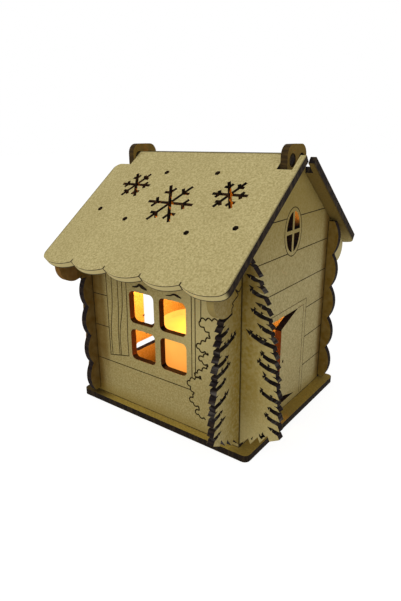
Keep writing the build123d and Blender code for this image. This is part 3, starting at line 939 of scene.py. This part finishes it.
@dataclass
class Stroke:
    """One scored line in the drawing of a face.

    Attributes:
        path: Points of the line, u and v in millimetres.
        width: Width of the line, or its width at each point.
        closed: True where the line runs back to its start.
    """

    path: np.ndarray
    width: float | np.ndarray
    closed: bool = False

    @classmethod
    def straight(cls, start: Point, end: Point, width: float) -> "Stroke":
        """Straight line from start to end."""
        return cls(np.array((start, end), float), width)

    @classmethod
    def level(cls, height: float, start: float, end: float, width: float) -> "Stroke":
        """Level line at a height between two places."""
        return cls.straight((start, height), (end, height), width)

    @classmethod
    def ring(cls, centre: Point, half_width: float, half_height: float, width: float) -> "Stroke":
        """Ellipse: the centre plus the half axes times the cosine and sine of the turn."""
        turn = np.linspace(0.0, 2.0 * math.pi, RING_STEPS, endpoint=False)
        round_path = np.stack((half_width * np.cos(turn), half_height * np.sin(turn)), axis=-1)
        return cls(np.array(centre) + round_path, width, True)

    @classmethod
    def bent(cls, points: tuple[Point, ...], width: float | tuple[float, ...]) -> "Stroke":
        """Smooth line through points: a cubic between each pair, with the chord past it as slope.

        Args:
            points: Points that the line goes through.
            width: Width of the line, or its width at each point.

        Returns:
            The stroke.
        """
        knots = np.array(points, float)
        count = len(knots)
        place = np.linspace(0.0, count - 1.0, BEND_STEPS * count)
        index = np.minimum(place.astype(int), count - 2)
        share = (place - index)[:, None]
        slope = np.gradient(knots, axis=0)
        start, end = knots[index], knots[index + 1]
        lean, reach = slope[index], slope[index + 1]
        line = start * (1 + 2 * share) * (1 - share) ** 2 + end * (3 - 2 * share) * share**2
        line += lean * share * (1 - share) ** 2 - reach * (1 - share) * share**2
        if np.ndim(width):
            width = np.interp(place, np.arange(count), np.array(width))
        return cls(line, width)

    def lobed(self, size: float, height: float) -> "Stroke":
        """The same line with round lobes, as on the edge of foliage.

        The line is cut into even steps, and each point moves sideways by the height times the
        absolute sine of its length along the line over the lobe's size.

        Args:
            size: Length of one lobe in millimetres.
            height: Height of a lobe in millimetres.

        Returns:
            The new stroke.
        """
        steps = np.linalg.norm(np.diff(self.path, axis=0), axis=1)
        length = np.concatenate(((0.0,), np.cumsum(steps)))
        even = np.linspace(0.0, length[-1], int(length[-1] / size * LOBE_STEPS))
        line = np.stack([np.interp(even, length, self.path[:, axis]) for axis in (0, 1)], axis=-1)
        ahead = np.gradient(line, axis=0)
        ahead /= np.linalg.norm(ahead, axis=1, keepdims=True)
        sideways = np.stack((ahead[:, 1], -ahead[:, 0]), axis=-1)
        swell = height * np.abs(np.sin(math.pi * even / size))
        return Stroke(line + sideways * swell[:, None], self.width)

    def solid(self, face: Face, proud: float, sunk: float) -> tuple[np.ndarray, np.ndarray]:
        """Thin closed bar along the line, with a mitre at each corner.

        A section is a rectangle: half the width to each side of the line, from sunk below the
        face to proud above it. It is carried along the path and capped at the ends.

        Args:
            face: Face that carries the line.
            proud: Height above the face in millimetres.
            sunk: Depth below the face in millimetres.

        Returns:
            Array of places in metres and array of four-sided faces.
        """
        if self.closed:
            before, after = np.roll(self.path, 1, axis=0), np.roll(self.path, -1, axis=0)
        else:
            before = np.concatenate((self.path[:1], self.path[:-1]))
            after = np.concatenate((self.path[1:], self.path[-1:]))
        came, goes = self.path - before, after - self.path
        if not self.closed:
            came[0], goes[-1] = goes[0], came[-1]
        came /= np.linalg.norm(came, axis=1, keepdims=True)
        goes /= np.linalg.norm(goes, axis=1, keepdims=True)
        ahead = came + goes
        ahead /= np.maximum(np.linalg.norm(ahead, axis=1, keepdims=True), TINY)
        mitre = 1.0 / np.maximum((ahead * goes).sum(axis=1), MITRE_COSINE)
        side = np.stack((-ahead[:, 1], ahead[:, 0]), axis=-1)
        side *= (np.broadcast_to(self.width, mitre.shape) / 2 * mitre)[:, None]
        left, right = self.path + side, self.path - side
        drawing = np.stack((left, right, right, left), axis=1)
        lift = np.broadcast_to(np.array((proud, proud, -sunk, -sunk)), drawing.shape[:2])
        places = face.in_space(drawing, lift).reshape(-1, 3)
        count = len(self.path)
        rings = np.arange(count) if self.closed else np.arange(count - 1)
        corner = np.arange(4)
        here, ahead_ring = rings[:, None] * 4, (rings[:, None] + 1) % count * 4
        turn = (corner + 1) % 4
        sides = (here + corner, here + turn, ahead_ring + turn, ahead_ring + corner)
        faces = np.stack(sides, axis=-1).reshape(-1, 4)
        if not self.closed:
            caps = np.array(((0, 3, 2, 1), np.array((0, 1, 2, 3)) + (count - 1) * 4))
            faces = np.concatenate((faces, caps))
        return places, faces


@dataclass
class Scoring:
    """Set of lines scored on one face of the house, made as one thin piece.

    Attributes:
        name: Name of the piece.
        face: Face that carries the lines.
        strokes: Lines in the drawing of the face.
        finish: Finish of the lines.
        proud: Height of the lines above the face in millimetres.
        sunk: Depth of the lines below the face in millimetres.
    """

    name: str
    face: Face
    strokes: list[Stroke]
    finish: ScoreFinish = ScoreFinish()
    proud: float = 0.03
    sunk: float = 0.08

    def build(self) -> bpy.types.Object:
        """Join the bars of all lines into one mesh that rides on the house.

        Returns:
            The piece.
        """
        parts = [stroke.solid(self.face, self.proud, self.sunk) for stroke in self.strokes]
        starts = np.cumsum([0] + [len(places) for places, _ in parts[:-1]])
        places = np.concatenate([places for places, _ in parts])
        faces = np.concatenate([faces + start for (_, faces), start in zip(parts, starts)])
        mesh = bpy.data.meshes.new(self.name)
        mesh.from_pydata(places.tolist(), [], faces.tolist())
        mesh.update()
        piece = bpy.data.objects.new(self.name, mesh)
        bpy.context.scene.collection.objects.link(piece)
        mesh.materials.append(self.finish.material(self.name))
        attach(piece, "house")
        LOG.info("%s: %d lines on %s", self.name, len(self.strokes), self.face.name.lower())
        return piece


@dataclass
class FrontWall:
    """Lines scored on the front wall, in its drawing of X and height."""

    corner: float = 38.0
    planks: tuple[float, ...] = (53.0, 37.9, 21.1)
    plank_end: float = 17.6
    shutter_left: float = -29.5
    slat_tops: tuple[float, ...] = (-29.2, -25.8, -22.2, -19.4, -16.9)
    slat_feet: tuple[float, ...] = (-29.4, -28.1, -23.4, -22.4, -17.7)
    slat_head: float = 64.0
    slat_bends: Point = (50.0, 37.0)
    slat_lean: float = 0.2  # share of the way to its foot that a slat has moved at the upper bend
    shutter_foot: tuple[Point, Point] = ((-29.5, 24.4), (-17.4, 26.8))
    right_slats: tuple[Point, ...] = ((18.4, 27.2), (20.2, 28.6), (23.1, 52.4))  # place and foot
    right_lean: float = 0.2
    fir_tips: tuple[Point, ...] = (
        (22.5, 52.3), (21.4, 41.4), (22.5, 36.4), (20.3, 29.2),
        (16.6, 24.6), (17.7, 16.2), (20.6, 11.4),
    )
    fir_forks: tuple[Point, ...] = (
        (31.0, 54.3), (27.8, 47.4), (26.8, 39.8), (26.8, 34.2),
        (23.4, 28.2), (19.5, 19.6), (22.4, 14.2),
    )
    fir_foot: Point = (25.0, 10.2)
    fir_lobe: Point = (2.9, 1.0)  # length and height of a lobe
    fir_line: float = 0.609
    brows: tuple[tuple[Point, ...], ...] = (
        ((-13.2, 60.1), (-10.6, 60.6), (-9.1, 61.5), (-7.4, 60.9), (-4.8, 60.0)),
        ((5.4, 59.8), (7.6, 60.1), (9.6, 60.9), (11.4, 60.6), (13.4, 60.0)),
    )
    brow_widths: tuple[float, ...] = (0.5, 0.9, 1.2, 1.8, 0.7)
    brow_shares: Point = (1.0, 0.65)  # share of those widths for each brow
    line: float = 0.42

    def slats(self) -> list[Stroke]:
        """Wavy slats of the shutters beside the window."""
        strokes = []
        foot_line = np.array(self.shutter_foot)
        upper, lower = self.slat_bends
        for top, foot in zip(self.slat_tops, self.slat_feet):
            low = float(np.interp(foot, foot_line[:, 0], foot_line[:, 1]))
            middle = top * (1.0 - self.slat_lean) + foot * self.slat_lean
            bend = ((top, self.slat_head), (middle, upper), (foot, lower), (foot, low))
            strokes.append(Stroke.bent(bend, self.line))
        strokes.append(Stroke.straight(*self.shutter_foot, self.line))
        for place, low in self.right_slats:
            foot = (place - self.right_lean, low)
            strokes.append(Stroke.straight((place, self.slat_head), foot, self.line))
        return strokes

    def fir(self) -> Stroke:
        """Lobed outline of the half fir that mirrors the one cut past the corner."""
        pairs = zip(self.fir_forks, self.fir_tips)
        outline = tuple(point for pair in pairs for point in pair) + (self.fir_foot,)
        return Stroke.bent(outline, self.fir_line).lobed(*self.fir_lobe)

    def brow_strokes(self) -> list[Stroke]:
        """Burnt strokes over the two upper panes, thick on the right of each."""
        return [
            Stroke.bent(points, tuple(share * width for width in self.brow_widths))
            for points, share in zip(self.brows, self.brow_shares)
        ]

    def build(self) -> None:
        """Make the lines of the front wall."""
        ends = (self.shutter_left, self.shutter_left, self.plank_end)
        planks = [
            Stroke.level(height, -self.corner, end, self.line)
            for height, end in zip(self.planks, ends)
        ]
        Scoring("front_plank_lines", Face.FRONT, planks).build()
        Scoring("front_shutter_lines", Face.FRONT, self.slats()).build()
        Scoring("front_fir_lines", Face.FRONT, [self.fir()], FIR_INK).build()
        Scoring("front_window_brows", Face.FRONT, self.brow_strokes(), BROW_INK).build()


@dataclass
class Gables:
    """Lines scored on the gables and the back wall, in drawings of depth and height."""

    corner: float = 35.2
    planks: tuple[float, ...] = (17.3, 31.7, 46.1, 60.4, 74.8, 89.2)
    rake: float = 37.1
    hinge_height: float = 109.3
    hinge_half: float = 3.8
    oval_centre: Point = (0.0, 83.2)
    oval_ring: Point = (7.4, 9.9)  # half width and half height
    frame_outer: tuple[float, float, float] = (-17.0, 16.6, 50.7)  # left, right and top
    frame_inner: tuple[float, float, float] = (8.8, 14.2, 48.2)  # start, right and top
    frame_foot: float = 4.0
    frame_widths: Point = (0.32, 0.28)
    fir_tip: tuple[Point, ...] = (
        (-38.6, 70.0), (-40.2, 68.4), (-42.4, 69.6), (-40.8, 67.4), (-42.2, 66.4),
        (-44.2, 65.2), (-43.7, 64.2), (-44.6, 63.2), (-44.4, 61.0),
    )
    fir_line: float = 0.48
    inside_marks: tuple[Point, ...] = ((-6.5, 32.2), (-4.8, 21.9))
    mark_half: float = 0.7
    mark_width: float = 0.9
    left_gaps: tuple[float, ...] = (13.8, 7.6, 7.6, 0.0, 0.0, 0.0)  # half width, for each plank
    back_planks: tuple[float, ...] = (21.1, 37.9, 53.0, 67.9)
    back_corner: float = 38.0
    line: float = 0.40

    def half_width(self, height: float) -> float:
        """Half the width of a gable at a height: to the corner, or to the rake above it."""
        rake = self.hinge_half + (self.hinge_height - height) / math.tan(math.radians(self.rake))
        return min(self.corner, rake)

    def right_planks(self) -> list[Stroke]:
        """Plank lines of the right gable, broken at the door and round the oval window."""
        strokes = []
        for height in self.planks:
            half = self.half_width(height)
            gap = self.frame_outer[:2] if height < self.frame_outer[2] else None
            rise = (height - self.oval_centre[1]) / self.oval_ring[1]
            if abs(rise) < 1.0:
                ring = self.oval_ring[0] * math.sqrt(1.0 - rise**2)
                gap = (-ring, ring)
            ends = ((-half, half),) if gap is None else ((-half, gap[0]), (gap[1], half))
            strokes += [Stroke.level(height, start, end, self.line) for start, end in ends]
        return strokes

    def left_planks(self) -> list[Stroke]:
        """Plank lines of the left gable, broken at its light and its slot."""
        strokes = []
        for height, gap in zip(self.planks, self.left_gaps):
            half = self.half_width(height)
            ends = ((-half, -gap), (gap, half)) if gap else ((-half, half),)
            strokes += [Stroke.level(height, start, end, self.line) for start, end in ends]
        return strokes

    def door_frame(self) -> list[Stroke]:
        """Double line of the door's frame, the inner one beside the leaf's hinge."""
        left, right, top = self.frame_outer
        start, edge, head = self.frame_inner
        foot = self.frame_foot
        outer = np.array(((left, foot), (left, top), (right, top), (right, foot)))
        inner = np.array(((start, head), (edge, head), (edge, foot)))
        return [Stroke(path, width) for path, width in zip((outer, inner), self.frame_widths)]

    def build(self) -> None:
        """Make the lines of the gables and of the back wall."""
        Scoring("right_plank_lines", Face.RIGHT, self.right_planks()).build()
        Scoring("right_door_frame", Face.RIGHT, self.door_frame(), FAINT_INK).build()
        ring = Stroke.ring(self.oval_centre, *self.oval_ring, self.line)
        Scoring("right_oval_ring", Face.RIGHT, [ring]).build()
        tip = Stroke.bent(self.fir_tip, self.fir_line)
        Scoring("right_fir_tip_lines", Face.RIGHT, [tip], FIR_INK).build()
        half = self.mark_half
        marks = [
            Stroke.level(height, place - half, place + half, self.mark_width)
            for place, height in self.inside_marks
        ]
        Scoring("left_inside_marks", Face.LEFT_INSIDE, marks).build()
        Scoring("left_plank_lines", Face.LEFT, self.left_planks()).build()
        end = self.back_corner
        back = [Stroke.level(height, -end, end, self.line) for height in self.back_planks]
        Scoring("back_plank_lines", Face.BACK, back).build()


@dataclass
class FirBurns:
    """Ragged burns round the cuts of the two half firs, measured out from the crossing wall."""

    top: float = 81.55
    bottom: float = 13.5  # height of the lowest branch tips
    reach: float = 16.5  # half width there
    swell: float = 1.8  # powers that shape the outline
    taper: float = 0.6
    cuts: tuple[Point, ...] = (  # share of the way down the tree, and length
        (0.11, 2.6), (0.19, 4.2), (0.25, 1.5), (0.305, 5.6), (0.375, 3.2), (0.45, 8.6),
        (0.535, 4.6), (0.59, 6.5), (0.66, 4.8), (0.76, 6.4), (0.83, 3.2), (0.89, 4.4),
        (0.95, 2.2),
    )
    mouth: float = 1.8  # height of a cut
    droop: float = 0.3  # fall of a branch for each millimetre outwards
    sag: float = 0.06  # middle of a branch below a straight line, as a share of the cut
    flick: float = 0.9  # how far the branch tips pass the outline
    hidden: int = 4  # cuts that the rafter tail takes from the gable's fir
    end_aims: Span = (0.3, 0.9)  # burn past a cut's inner end: range of its aim in radians
    end_lengths: Span = (1.0, 2.8)
    end_width: float = 1.6
    side_aims: Span = (0.6, 1.3)  # burns above a cut: range of their aims in radians
    side_lengths: Span = (0.8, 2.2)
    side_width: float = 1.3
    side_share: float = 0.7  # greatest share of the board above the cut that they take up
    pitch: float = 1.5  # length of cut for each of them
    inset: float = 0.7  # distance of the first one from the cut's inner end
    clear: float = 2.2  # strip inside the outline that stays free of them
    jitter: float = 0.3  # how far each is moved from an even row
    start: float = 0.1  # start of a burn past the border of the cut
    point: float = 0.15  # width of a burn at its end
    scorches: tuple[tuple[float, ...], ...] = (  # front skirt: place, height, aim, length, width
        (11.2, 13.3, -0.82, 2.6, 1.6), (9.4, 11.3, 2.32, 2.4, 1.5), (10.4, 12.9, 1.5, 1.3, 1.1),
        (9.4, 11.9, 1.1, 1.2, 1.0), (5.6, 9.0, 1.9, 1.7, 0.7),
    )
    seed: int = 11

    def outline(self, height: float) -> float:
        """Half width at a height: the reach times a power of one less a power of the share up."""
        share = (height - self.bottom) / (self.top - self.bottom)
        return self.reach * (1.0 - share**self.swell) ** self.taper

    def row(
        self, spots: np.ndarray, aims: np.ndarray, lengths: np.ndarray, width: float
    ) -> list[Stroke]:
        """Pointed strokes from spots on a cut's side into the board.

        Each runs from its spot by its length along its aim, and narrows to a point.

        Args:
            spots: Array of starting points.
            aims: Array of angles from the level inward direction, in radians.
            lengths: Length of each stroke.
            width: Width at the start.

        Returns:
            The strokes.
        """
        heading = np.stack((-np.cos(aims), np.sin(aims)), axis=-1)
        starts, ends = spots + heading * self.start, spots + heading * lengths[:, None]
        widths = np.array((width, self.point))
        return [Stroke(np.stack(pair), widths) for pair in zip(starts, ends)]

    def round_cut(
        self, tip: float, length: float, room: float, draw: np.random.Generator
    ) -> list[Stroke]:
        """Burns above one cut and past its inner end.

        The cut's upper side is two straight runs from the branch tip over its sagging middle to
        its inner end.

        Args:
            tip: Height of the branch tip over the cut.
            length: Length of the cut.
            room: Height of the board above the cut.
            draw: Source of the spread.

        Returns:
            The strokes.
        """
        outer = self.outline(tip)
        inner = outer - length
        rise = self.droop * length
        places = (inner, outer - length / 2, outer + self.flick)
        heights = (tip + rise, tip + rise / 2 - self.sag * length, tip)
        end = np.array(((inner, tip + rise - self.mouth / 2),))
        aims, lengths = draw.uniform(*self.end_aims, 1), draw.uniform(*self.end_lengths, 1)
        strokes = self.row(end, aims, lengths, self.end_width)
        count = int((length - self.clear) / self.pitch)
        if count < 1:
            return strokes
        across = np.linspace(inner + self.inset, outer - self.clear, count)
        across += draw.uniform(-self.jitter, self.jitter, count)
        spots = np.stack((across, np.interp(across, places, heights)), axis=-1)
        lengths = np.minimum(draw.uniform(*self.side_lengths, count), room * self.side_share)
        aims = draw.uniform(*self.side_aims, count)
        return strokes + self.row(spots, aims, lengths, self.side_width)

    def build(self) -> None:
        """Make the burns of both firs."""
        draw = np.random.default_rng(self.seed)
        tips = [self.top - share * (self.top - self.bottom) for share, _ in self.cuts]
        rooms = [above - tip - self.mouth for above, tip in zip((self.top, *tips), tips)]
        cuts = [(tip, length, room) for tip, (_, length), room in zip(tips, self.cuts, rooms)]
        boards = (
            ("front_fir_burns", Face.FRONT, 1.0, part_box("right_gable")[1].x / MM, 0),
            ("right_fir_burns", Face.RIGHT, -1.0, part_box("back_wall")[1].y / MM, self.hidden),
        )
        for name, face, side, edge, first in boards:
            strokes = [stroke for cut in cuts[first:] for stroke in self.round_cut(*cut, draw)]
            for *spot, aim, length, width in self.scorches if face is Face.FRONT else ():
                spots, aims, lengths = (np.array((part,)) for part in (spot, aim, length))
                strokes += self.row(spots, aims, lengths, width)
            for stroke in strokes:
                out, height = stroke.path.T
                stroke.path = np.stack((side * (edge + out), height), axis=-1)
            Scoring(name, face, strokes, BURN_INK).build()


@dataclass
class House:
    """Boards of the house and their finishes."""

    pitch: float = 37.1
    slope: float = 65.4  # distance of the eave's cusps from the hinge axis
    gable: BoardFinish = BoardFinish()
    # The front wall's fibres are darker than the gables' as painted shade.
    wall: BoardFinish = BoardFinish(face=(0.345, 0.277, 0.106), light=(0.458, 0.377, 0.164))
    # The back wall's log ends take their own mix of sooty stains and painted shade.
    rear: BoardFinish = BoardFinish(soot_and_shade=(0.168, 0.094, 0.008))
    base: BoardFinish = BoardFinish(
        face=(0.430, 0.305, 0.058),
        light=(0.545, 0.392, 0.088),
        burnt=(0.012, 0.008, 0.006),
        singed=(0.036, 0.024, 0.012),
    )
    # The roof's fibres are paler than the gables' as painted light.
    roof: BoardFinish = BoardFinish(
        face=(0.480, 0.398, 0.171),
        light=(0.630, 0.535, 0.258),
        burnt=(0.016, 0.012, 0.011),
        singed=(0.062, 0.044, 0.026),
    )

    def flat(
        self, node: str, axis: int, growth: Growth, reach: float = 0.0, fir: int = 0
    ) -> BoardPlane:
        """Plane of a board that stands square to an axis.

        Args:
            node: CAD node of the board.
            axis: Index of the axis across the board.
            growth: Axis along which it grows past the crossing walls.
            reach: Half length between the outer faces of those walls, in metres.
            fir: End of that axis where a fir grows, or 0.

        Returns:
            The plane.
        """
        low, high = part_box(node)
        normal = Vector((0.0, 0.0, 0.0))
        normal[axis] = 1.0
        return BoardPlane(normal, (low[axis] + high[axis]) / 2, growth, reach, fir)

    def sloping(self, node: str, joint: dict, side: float) -> BoardPlane:
        """Plane of a closed roof board, through its hinge axis.

        Args:
            node: CAD node of the board.
            joint: Hinge of the board.
            side: -1 for the front board, 1 for the back board.

        Returns:
            The plane.
        """
        angle = math.radians(self.pitch)
        normal = Vector((0.0, side * math.sin(angle), math.cos(angle)))
        hinge = Vector(joint["pos_m"])
        reach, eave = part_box(node)[1].x, self.slope * MM
        return BoardPlane(normal, normal.dot(hinge), reach=reach, eave=eave, ridge=hinge)

    def build(self, frame: dict) -> None:
        """Dress every board in its finish.

        Args:
            frame: Loaded frame.
        """
        wall_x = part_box("right_gable")[1].x
        wall_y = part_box("back_wall")[1].y
        joints = {joint["name"]: joint for joint in frame["joints"]}
        planes = {
            "base_plate": self.flat("base_plate", 2, Growth.NONE),
            "front_wall": self.flat("front_wall", 1, Growth.ALONG_X, wall_x, 1),
            "back_wall": self.flat("back_wall", 1, Growth.ALONG_X, wall_x),
            "left_gable": self.flat("left_gable", 0, Growth.ALONG_Y, wall_y),
            "right_gable": self.flat("right_gable", 0, Growth.ALONG_Y, wall_y, -1),
            "front_roof": self.sloping("front_roof", joints["front_roof_hinge"], -1.0),
            "back_roof": self.sloping("back_roof", joints["back_roof_hinge"], 1.0),
        }
        finishes = {
            "base_plate": self.base,
            "front_wall": self.wall,
            "back_wall": self.rear,
            "left_gable": self.gable,
            "right_gable": self.gable,
            "front_roof": self.roof,
            "back_roof": self.roof,
        }
        for node, plane in planes.items():
            dress(frame, node, finishes[node].material(node, plane))


@dataclass
class Tealight:
    """Electric tealight that glows inside the house, and the two lamps that light the room."""

    lamp_place: tuple[float, float, float] = (-6.0, -5.0, 54.0)
    lamp_colour: Colour = (1.0, 0.35, 0.065)
    lamp_size: float = 7.0
    glow_aim: tuple[float, float, float] = (-0.35, 0.30, -0.89)
    glow_power: float = 0.155  # lamp that shines down
    glow_cone: float = 178.0
    glow_blend: float = 0.1
    haze_power: float = 0.055  # lamp that fills the space under the roof
    case: GlowFinish = GlowFinish(
        body=(0.15, 0.09, 0.035),
        low=(0.80, 0.20, 0.02),
        high=(1.02, 0.50, 0.09),
        core=(1.30, 0.90, 0.08),
        foot=3.0,
        top=33.0,
        core_reach=18.5,
    )
    flame: GlowFinish = GlowFinish(
        body=(0.60, 0.45, 0.20),
        low=(1.40, 0.60, 0.12),
        high=(1.60, 1.10, 0.40),
        core=(1.50, 0.95, 0.25),
        foot=33.0,
        top=50.0,
        core_reach=5.0,
        roughness=0.25,
    )
    lamp: GlowFinish = GlowFinish(
        body=(0.70, 0.60, 0.35),
        low=(1.20, 0.80, 0.30),
        high=(1.40, 1.00, 0.45),
        core=(1.40, 1.00, 0.45),
        foot=20.0,
        top=40.0,
        core_reach=5.0,
        roughness=0.15,
    )
    white: MouldedFinish = MouldedFinish((0.78, 0.77, 0.73), (0.70, 0.69, 0.64))
    black: MouldedFinish = MouldedFinish((0.020, 0.020, 0.021), (0.045, 0.045, 0.047))
    steel: MouldedFinish = MouldedFinish((0.62, 0.62, 0.61), (0.50, 0.50, 0.49), 1.0, 0.28)
    brass: MouldedFinish = MouldedFinish((0.72, 0.52, 0.22), (0.55, 0.38, 0.15), 1.0, 0.30)

    def build(self, frame: dict) -> None:
        """Dress the pieces of the tealight and light its flame.

        Args:
            frame: Loaded frame.
        """
        finishes = {
            "tealight_case": self.case,
            "flame": self.flame,
            "led": self.lamp,
            "tealight_chassis": self.white,
            "battery_door": self.white,
            "coin_cell": self.steel,
            "top_contact": self.brass,
            "side_contact": self.brass,
            "switch_slider": self.black,
        }
        for node, finish in finishes.items():
            dress(frame, node, finish.material(node))
        self.shine(frame)

    def shine(self, frame: dict) -> None:
        """Light the room with a lamp that shines down and a weak one that fills the roof.

        Args:
            frame: Loaded frame.
        """
        low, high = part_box("tealight_case")
        foot = Vector(((low.x + high.x) / 2, (low.y + high.y) / 2, 0.0))
        glow = bpy.data.lights.new("flame_light", "SPOT")
        glow.spot_size, glow.spot_blend = math.radians(self.glow_cone), self.glow_blend
        haze = bpy.data.lights.new("flame_haze", "POINT")
        for lamp, power in ((glow, self.glow_power), (haze, self.haze_power)):
            lamp.energy = power
            lamp.color = self.lamp_colour
            lamp.shadow_soft_size = self.lamp_size * MM
            light = bpy.data.objects.new(lamp.name, lamp)
            bpy.context.scene.collection.objects.link(light)
            light.location = foot + Vector(self.lamp_place) * MM
            light.rotation_euler = Vector(self.glow_aim).to_track_quat("-Z", "Y").to_euler()
            light.parent = frame["bodies"]["tealight"]


def dress(frame: dict, node: str, material: bpy.types.Material) -> None:
    """Put one material on a CAD node and report it.

    Args:
        frame: Loaded frame.
        node: Name of the node.
        material: Material for all of it.
    """
    mesh = frame["nodes"][node].data
    mesh.materials.clear()
    mesh.materials.append(material)
    LOG.info("%s dressed", node)


@dataclass
class Studio:
    """Pale floor, plain soft light and the camera. Panels and floor are in metres."""

    ambient: float = 0.52
    ambient_colour: Colour = (1.0, 0.99, 0.97)
    key: tuple[float, float, float] = (-0.15, -0.92, 0.50)
    key_power: float = 3.8
    side: tuple[float, float, float] = (1.00, -0.30, 0.55)
    side_power: float = 1.35
    panel_size: float = 1.10
    panel_aim: tuple[float, float, float] = (0.0, 0.0, 0.05)
    floor_half: float = 3.0
    floor_colour: Colour = (0.80, 0.80, 0.79)
    floor_shade: Colour = (0.30, 0.30, 0.30)  # part of its seen colour that takes shadows
    floor_seen: float = 0.87  # part of its seen colour that is always there
    lens: float = 29.14
    sensor: float = 36.0
    clip: float = 0.01
    azimuth: float = 37.01
    elevation: float = 18.71
    roll: float = -0.54
    camera_place: tuple[float, float, float] = (128.1, -177.9, 120.2)

    def seen(self, tree: bpy.types.NodeTree) -> Socket:
        """Output that is 1 for rays that show the background, straight or in gloss and glass.

        Args:
            tree: Tree to add the light path to.

        Returns:
            The output.
        """
        path = tree.nodes.new("ShaderNodeLightPath")
        total = path.outputs["Is Camera Ray"]
        for name in ("Is Glossy Ray", "Is Transmission Ray"):
            node = tree.nodes.new("ShaderNodeMath")
            node.operation = "MAXIMUM"
            tree.links.new(total, node.inputs[0])
            tree.links.new(path.outputs[name], node.inputs[1])
            total = node.outputs[0]
        return total

    def world(self) -> None:
        """White background that lights the object with a plain soft level."""
        world = bpy.data.worlds.new("studio")
        world.use_nodes = True
        tree = world.node_tree
        tree.nodes.clear()
        lit, white = (tree.nodes.new("ShaderNodeBackground") for _ in range(2))
        lit.inputs["Color"].default_value = (*self.ambient_colour, 1.0)
        lit.inputs["Strength"].default_value = self.ambient
        white.inputs["Color"].default_value = (1.0, 1.0, 1.0, 1.0)
        white.inputs["Strength"].default_value = 1.0
        choice = tree.nodes.new("ShaderNodeMixShader")
        output = tree.nodes.new("ShaderNodeOutputWorld")
        tree.links.new(self.seen(tree), choice.inputs["Fac"])
        tree.links.new(lit.outputs[0], choice.inputs[1])
        tree.links.new(white.outputs[0], choice.inputs[2])
        tree.links.new(choice.outputs[0], output.inputs["Surface"])
        bpy.context.scene.world = world

    def floor(self) -> None:
        """Pale floor: a flat square on a grid of two by two points, seen nearly white."""
        side = np.array((-1.0, 1.0)) * self.floor_half
        across, deep = np.meshgrid(side, side)
        places = np.stack((across, deep, np.zeros_like(across)), axis=-1).reshape(-1, 3)
        mesh = bpy.data.meshes.new("floor")
        mesh.from_pydata(places.tolist(), [], [(0, 1, 3, 2)])
        floor = bpy.data.objects.new("floor", mesh)
        bpy.context.scene.collection.objects.link(floor)
        graph = Graph("floor")
        plain, shade = graph.add("BsdfDiffuse"), graph.add("BsdfDiffuse")
        plain.inputs["Color"].default_value = (*self.floor_colour, 1.0)
        shade.inputs["Color"].default_value = (*self.floor_shade, 1.0)
        glow = graph.add("Emission")
        glow.inputs["Strength"].default_value = self.floor_seen
        both, choice = graph.add("AddShader"), graph.add("MixShader")
        graph.tree.links.new(glow.outputs[0], both.inputs[0])
        graph.tree.links.new(shade.outputs[0], both.inputs[1])
        graph.tree.links.new(self.seen(graph.tree), choice.inputs["Fac"])
        graph.tree.links.new(plain.outputs[0], choice.inputs[1])
        graph.tree.links.new(both.outputs[0], choice.inputs[2])
        graph.tree.links.new(choice.outputs[0], graph.output.inputs["Surface"])
        mesh.materials.append(graph.material)

    def panel(self, name: str, place: tuple[float, float, float], power: float) -> None:
        """Large soft panel aimed at the house.

        Args:
            name: Name of the light.
            place: Where it stands, in metres.
            power: Its power in watts.
        """
        lamp = bpy.data.lights.new(name, "AREA")
        lamp.energy = power
        lamp.size = self.panel_size
        light = bpy.data.objects.new(name, lamp)
        bpy.context.scene.collection.objects.link(light)
        light.location = place
        aim = Vector(self.panel_aim) - Vector(place)
        light.rotation_euler = aim.to_track_quat("-Z", "Y").to_euler()

    def camera(self) -> None:
        """Camera at the viewing angle, from its azimuth, elevation and roll."""
        angles = (self.azimuth, self.elevation, self.roll)
        turn, lift, roll = (math.radians(angle) for angle in angles)
        level_part = math.cos(lift)
        back = Vector((math.sin(turn) * level_part, -math.cos(turn) * level_part, math.sin(lift)))
        level = Vector((math.cos(turn), math.sin(turn), 0.0))
        up = back.cross(level)
        right = level * math.cos(roll) + up * math.sin(roll)
        top = up * math.cos(roll) - level * math.sin(roll)
        data = bpy.data.cameras.new("camera")
        data.lens = self.lens
        data.sensor_width = self.sensor
        data.clip_start = self.clip
        camera = bpy.data.objects.new("camera", data)
        bpy.context.scene.collection.objects.link(camera)
        turn_matrix = Matrix((right, top, back)).transposed().to_4x4()
        camera.matrix_world = Matrix.Translation(Vector(self.camera_place) * MM) @ turn_matrix
        bpy.context.scene.camera = camera

    def build(self) -> None:
        """Set up the whole studio."""
        bpy.context.scene.view_settings.view_transform = "Standard"
        self.world()
        self.floor()
        self.panel("key_panel", self.key, self.key_power)
        self.panel("side_panel", self.side, self.side_power)
        self.camera()
        LOG.info("studio ready")


def main() -> None:
    """Dress the frame, add the scored lines and set up the studio."""
    logging.basicConfig(level=logging.INFO, format="%(message)s")
    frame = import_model()
    Studio().build()
    House().build(frame)
    FrontWall().build()
    Gables().build()
    FirBurns().build()
    Tealight().build(frame)


if __name__ == "__main__":
    main()
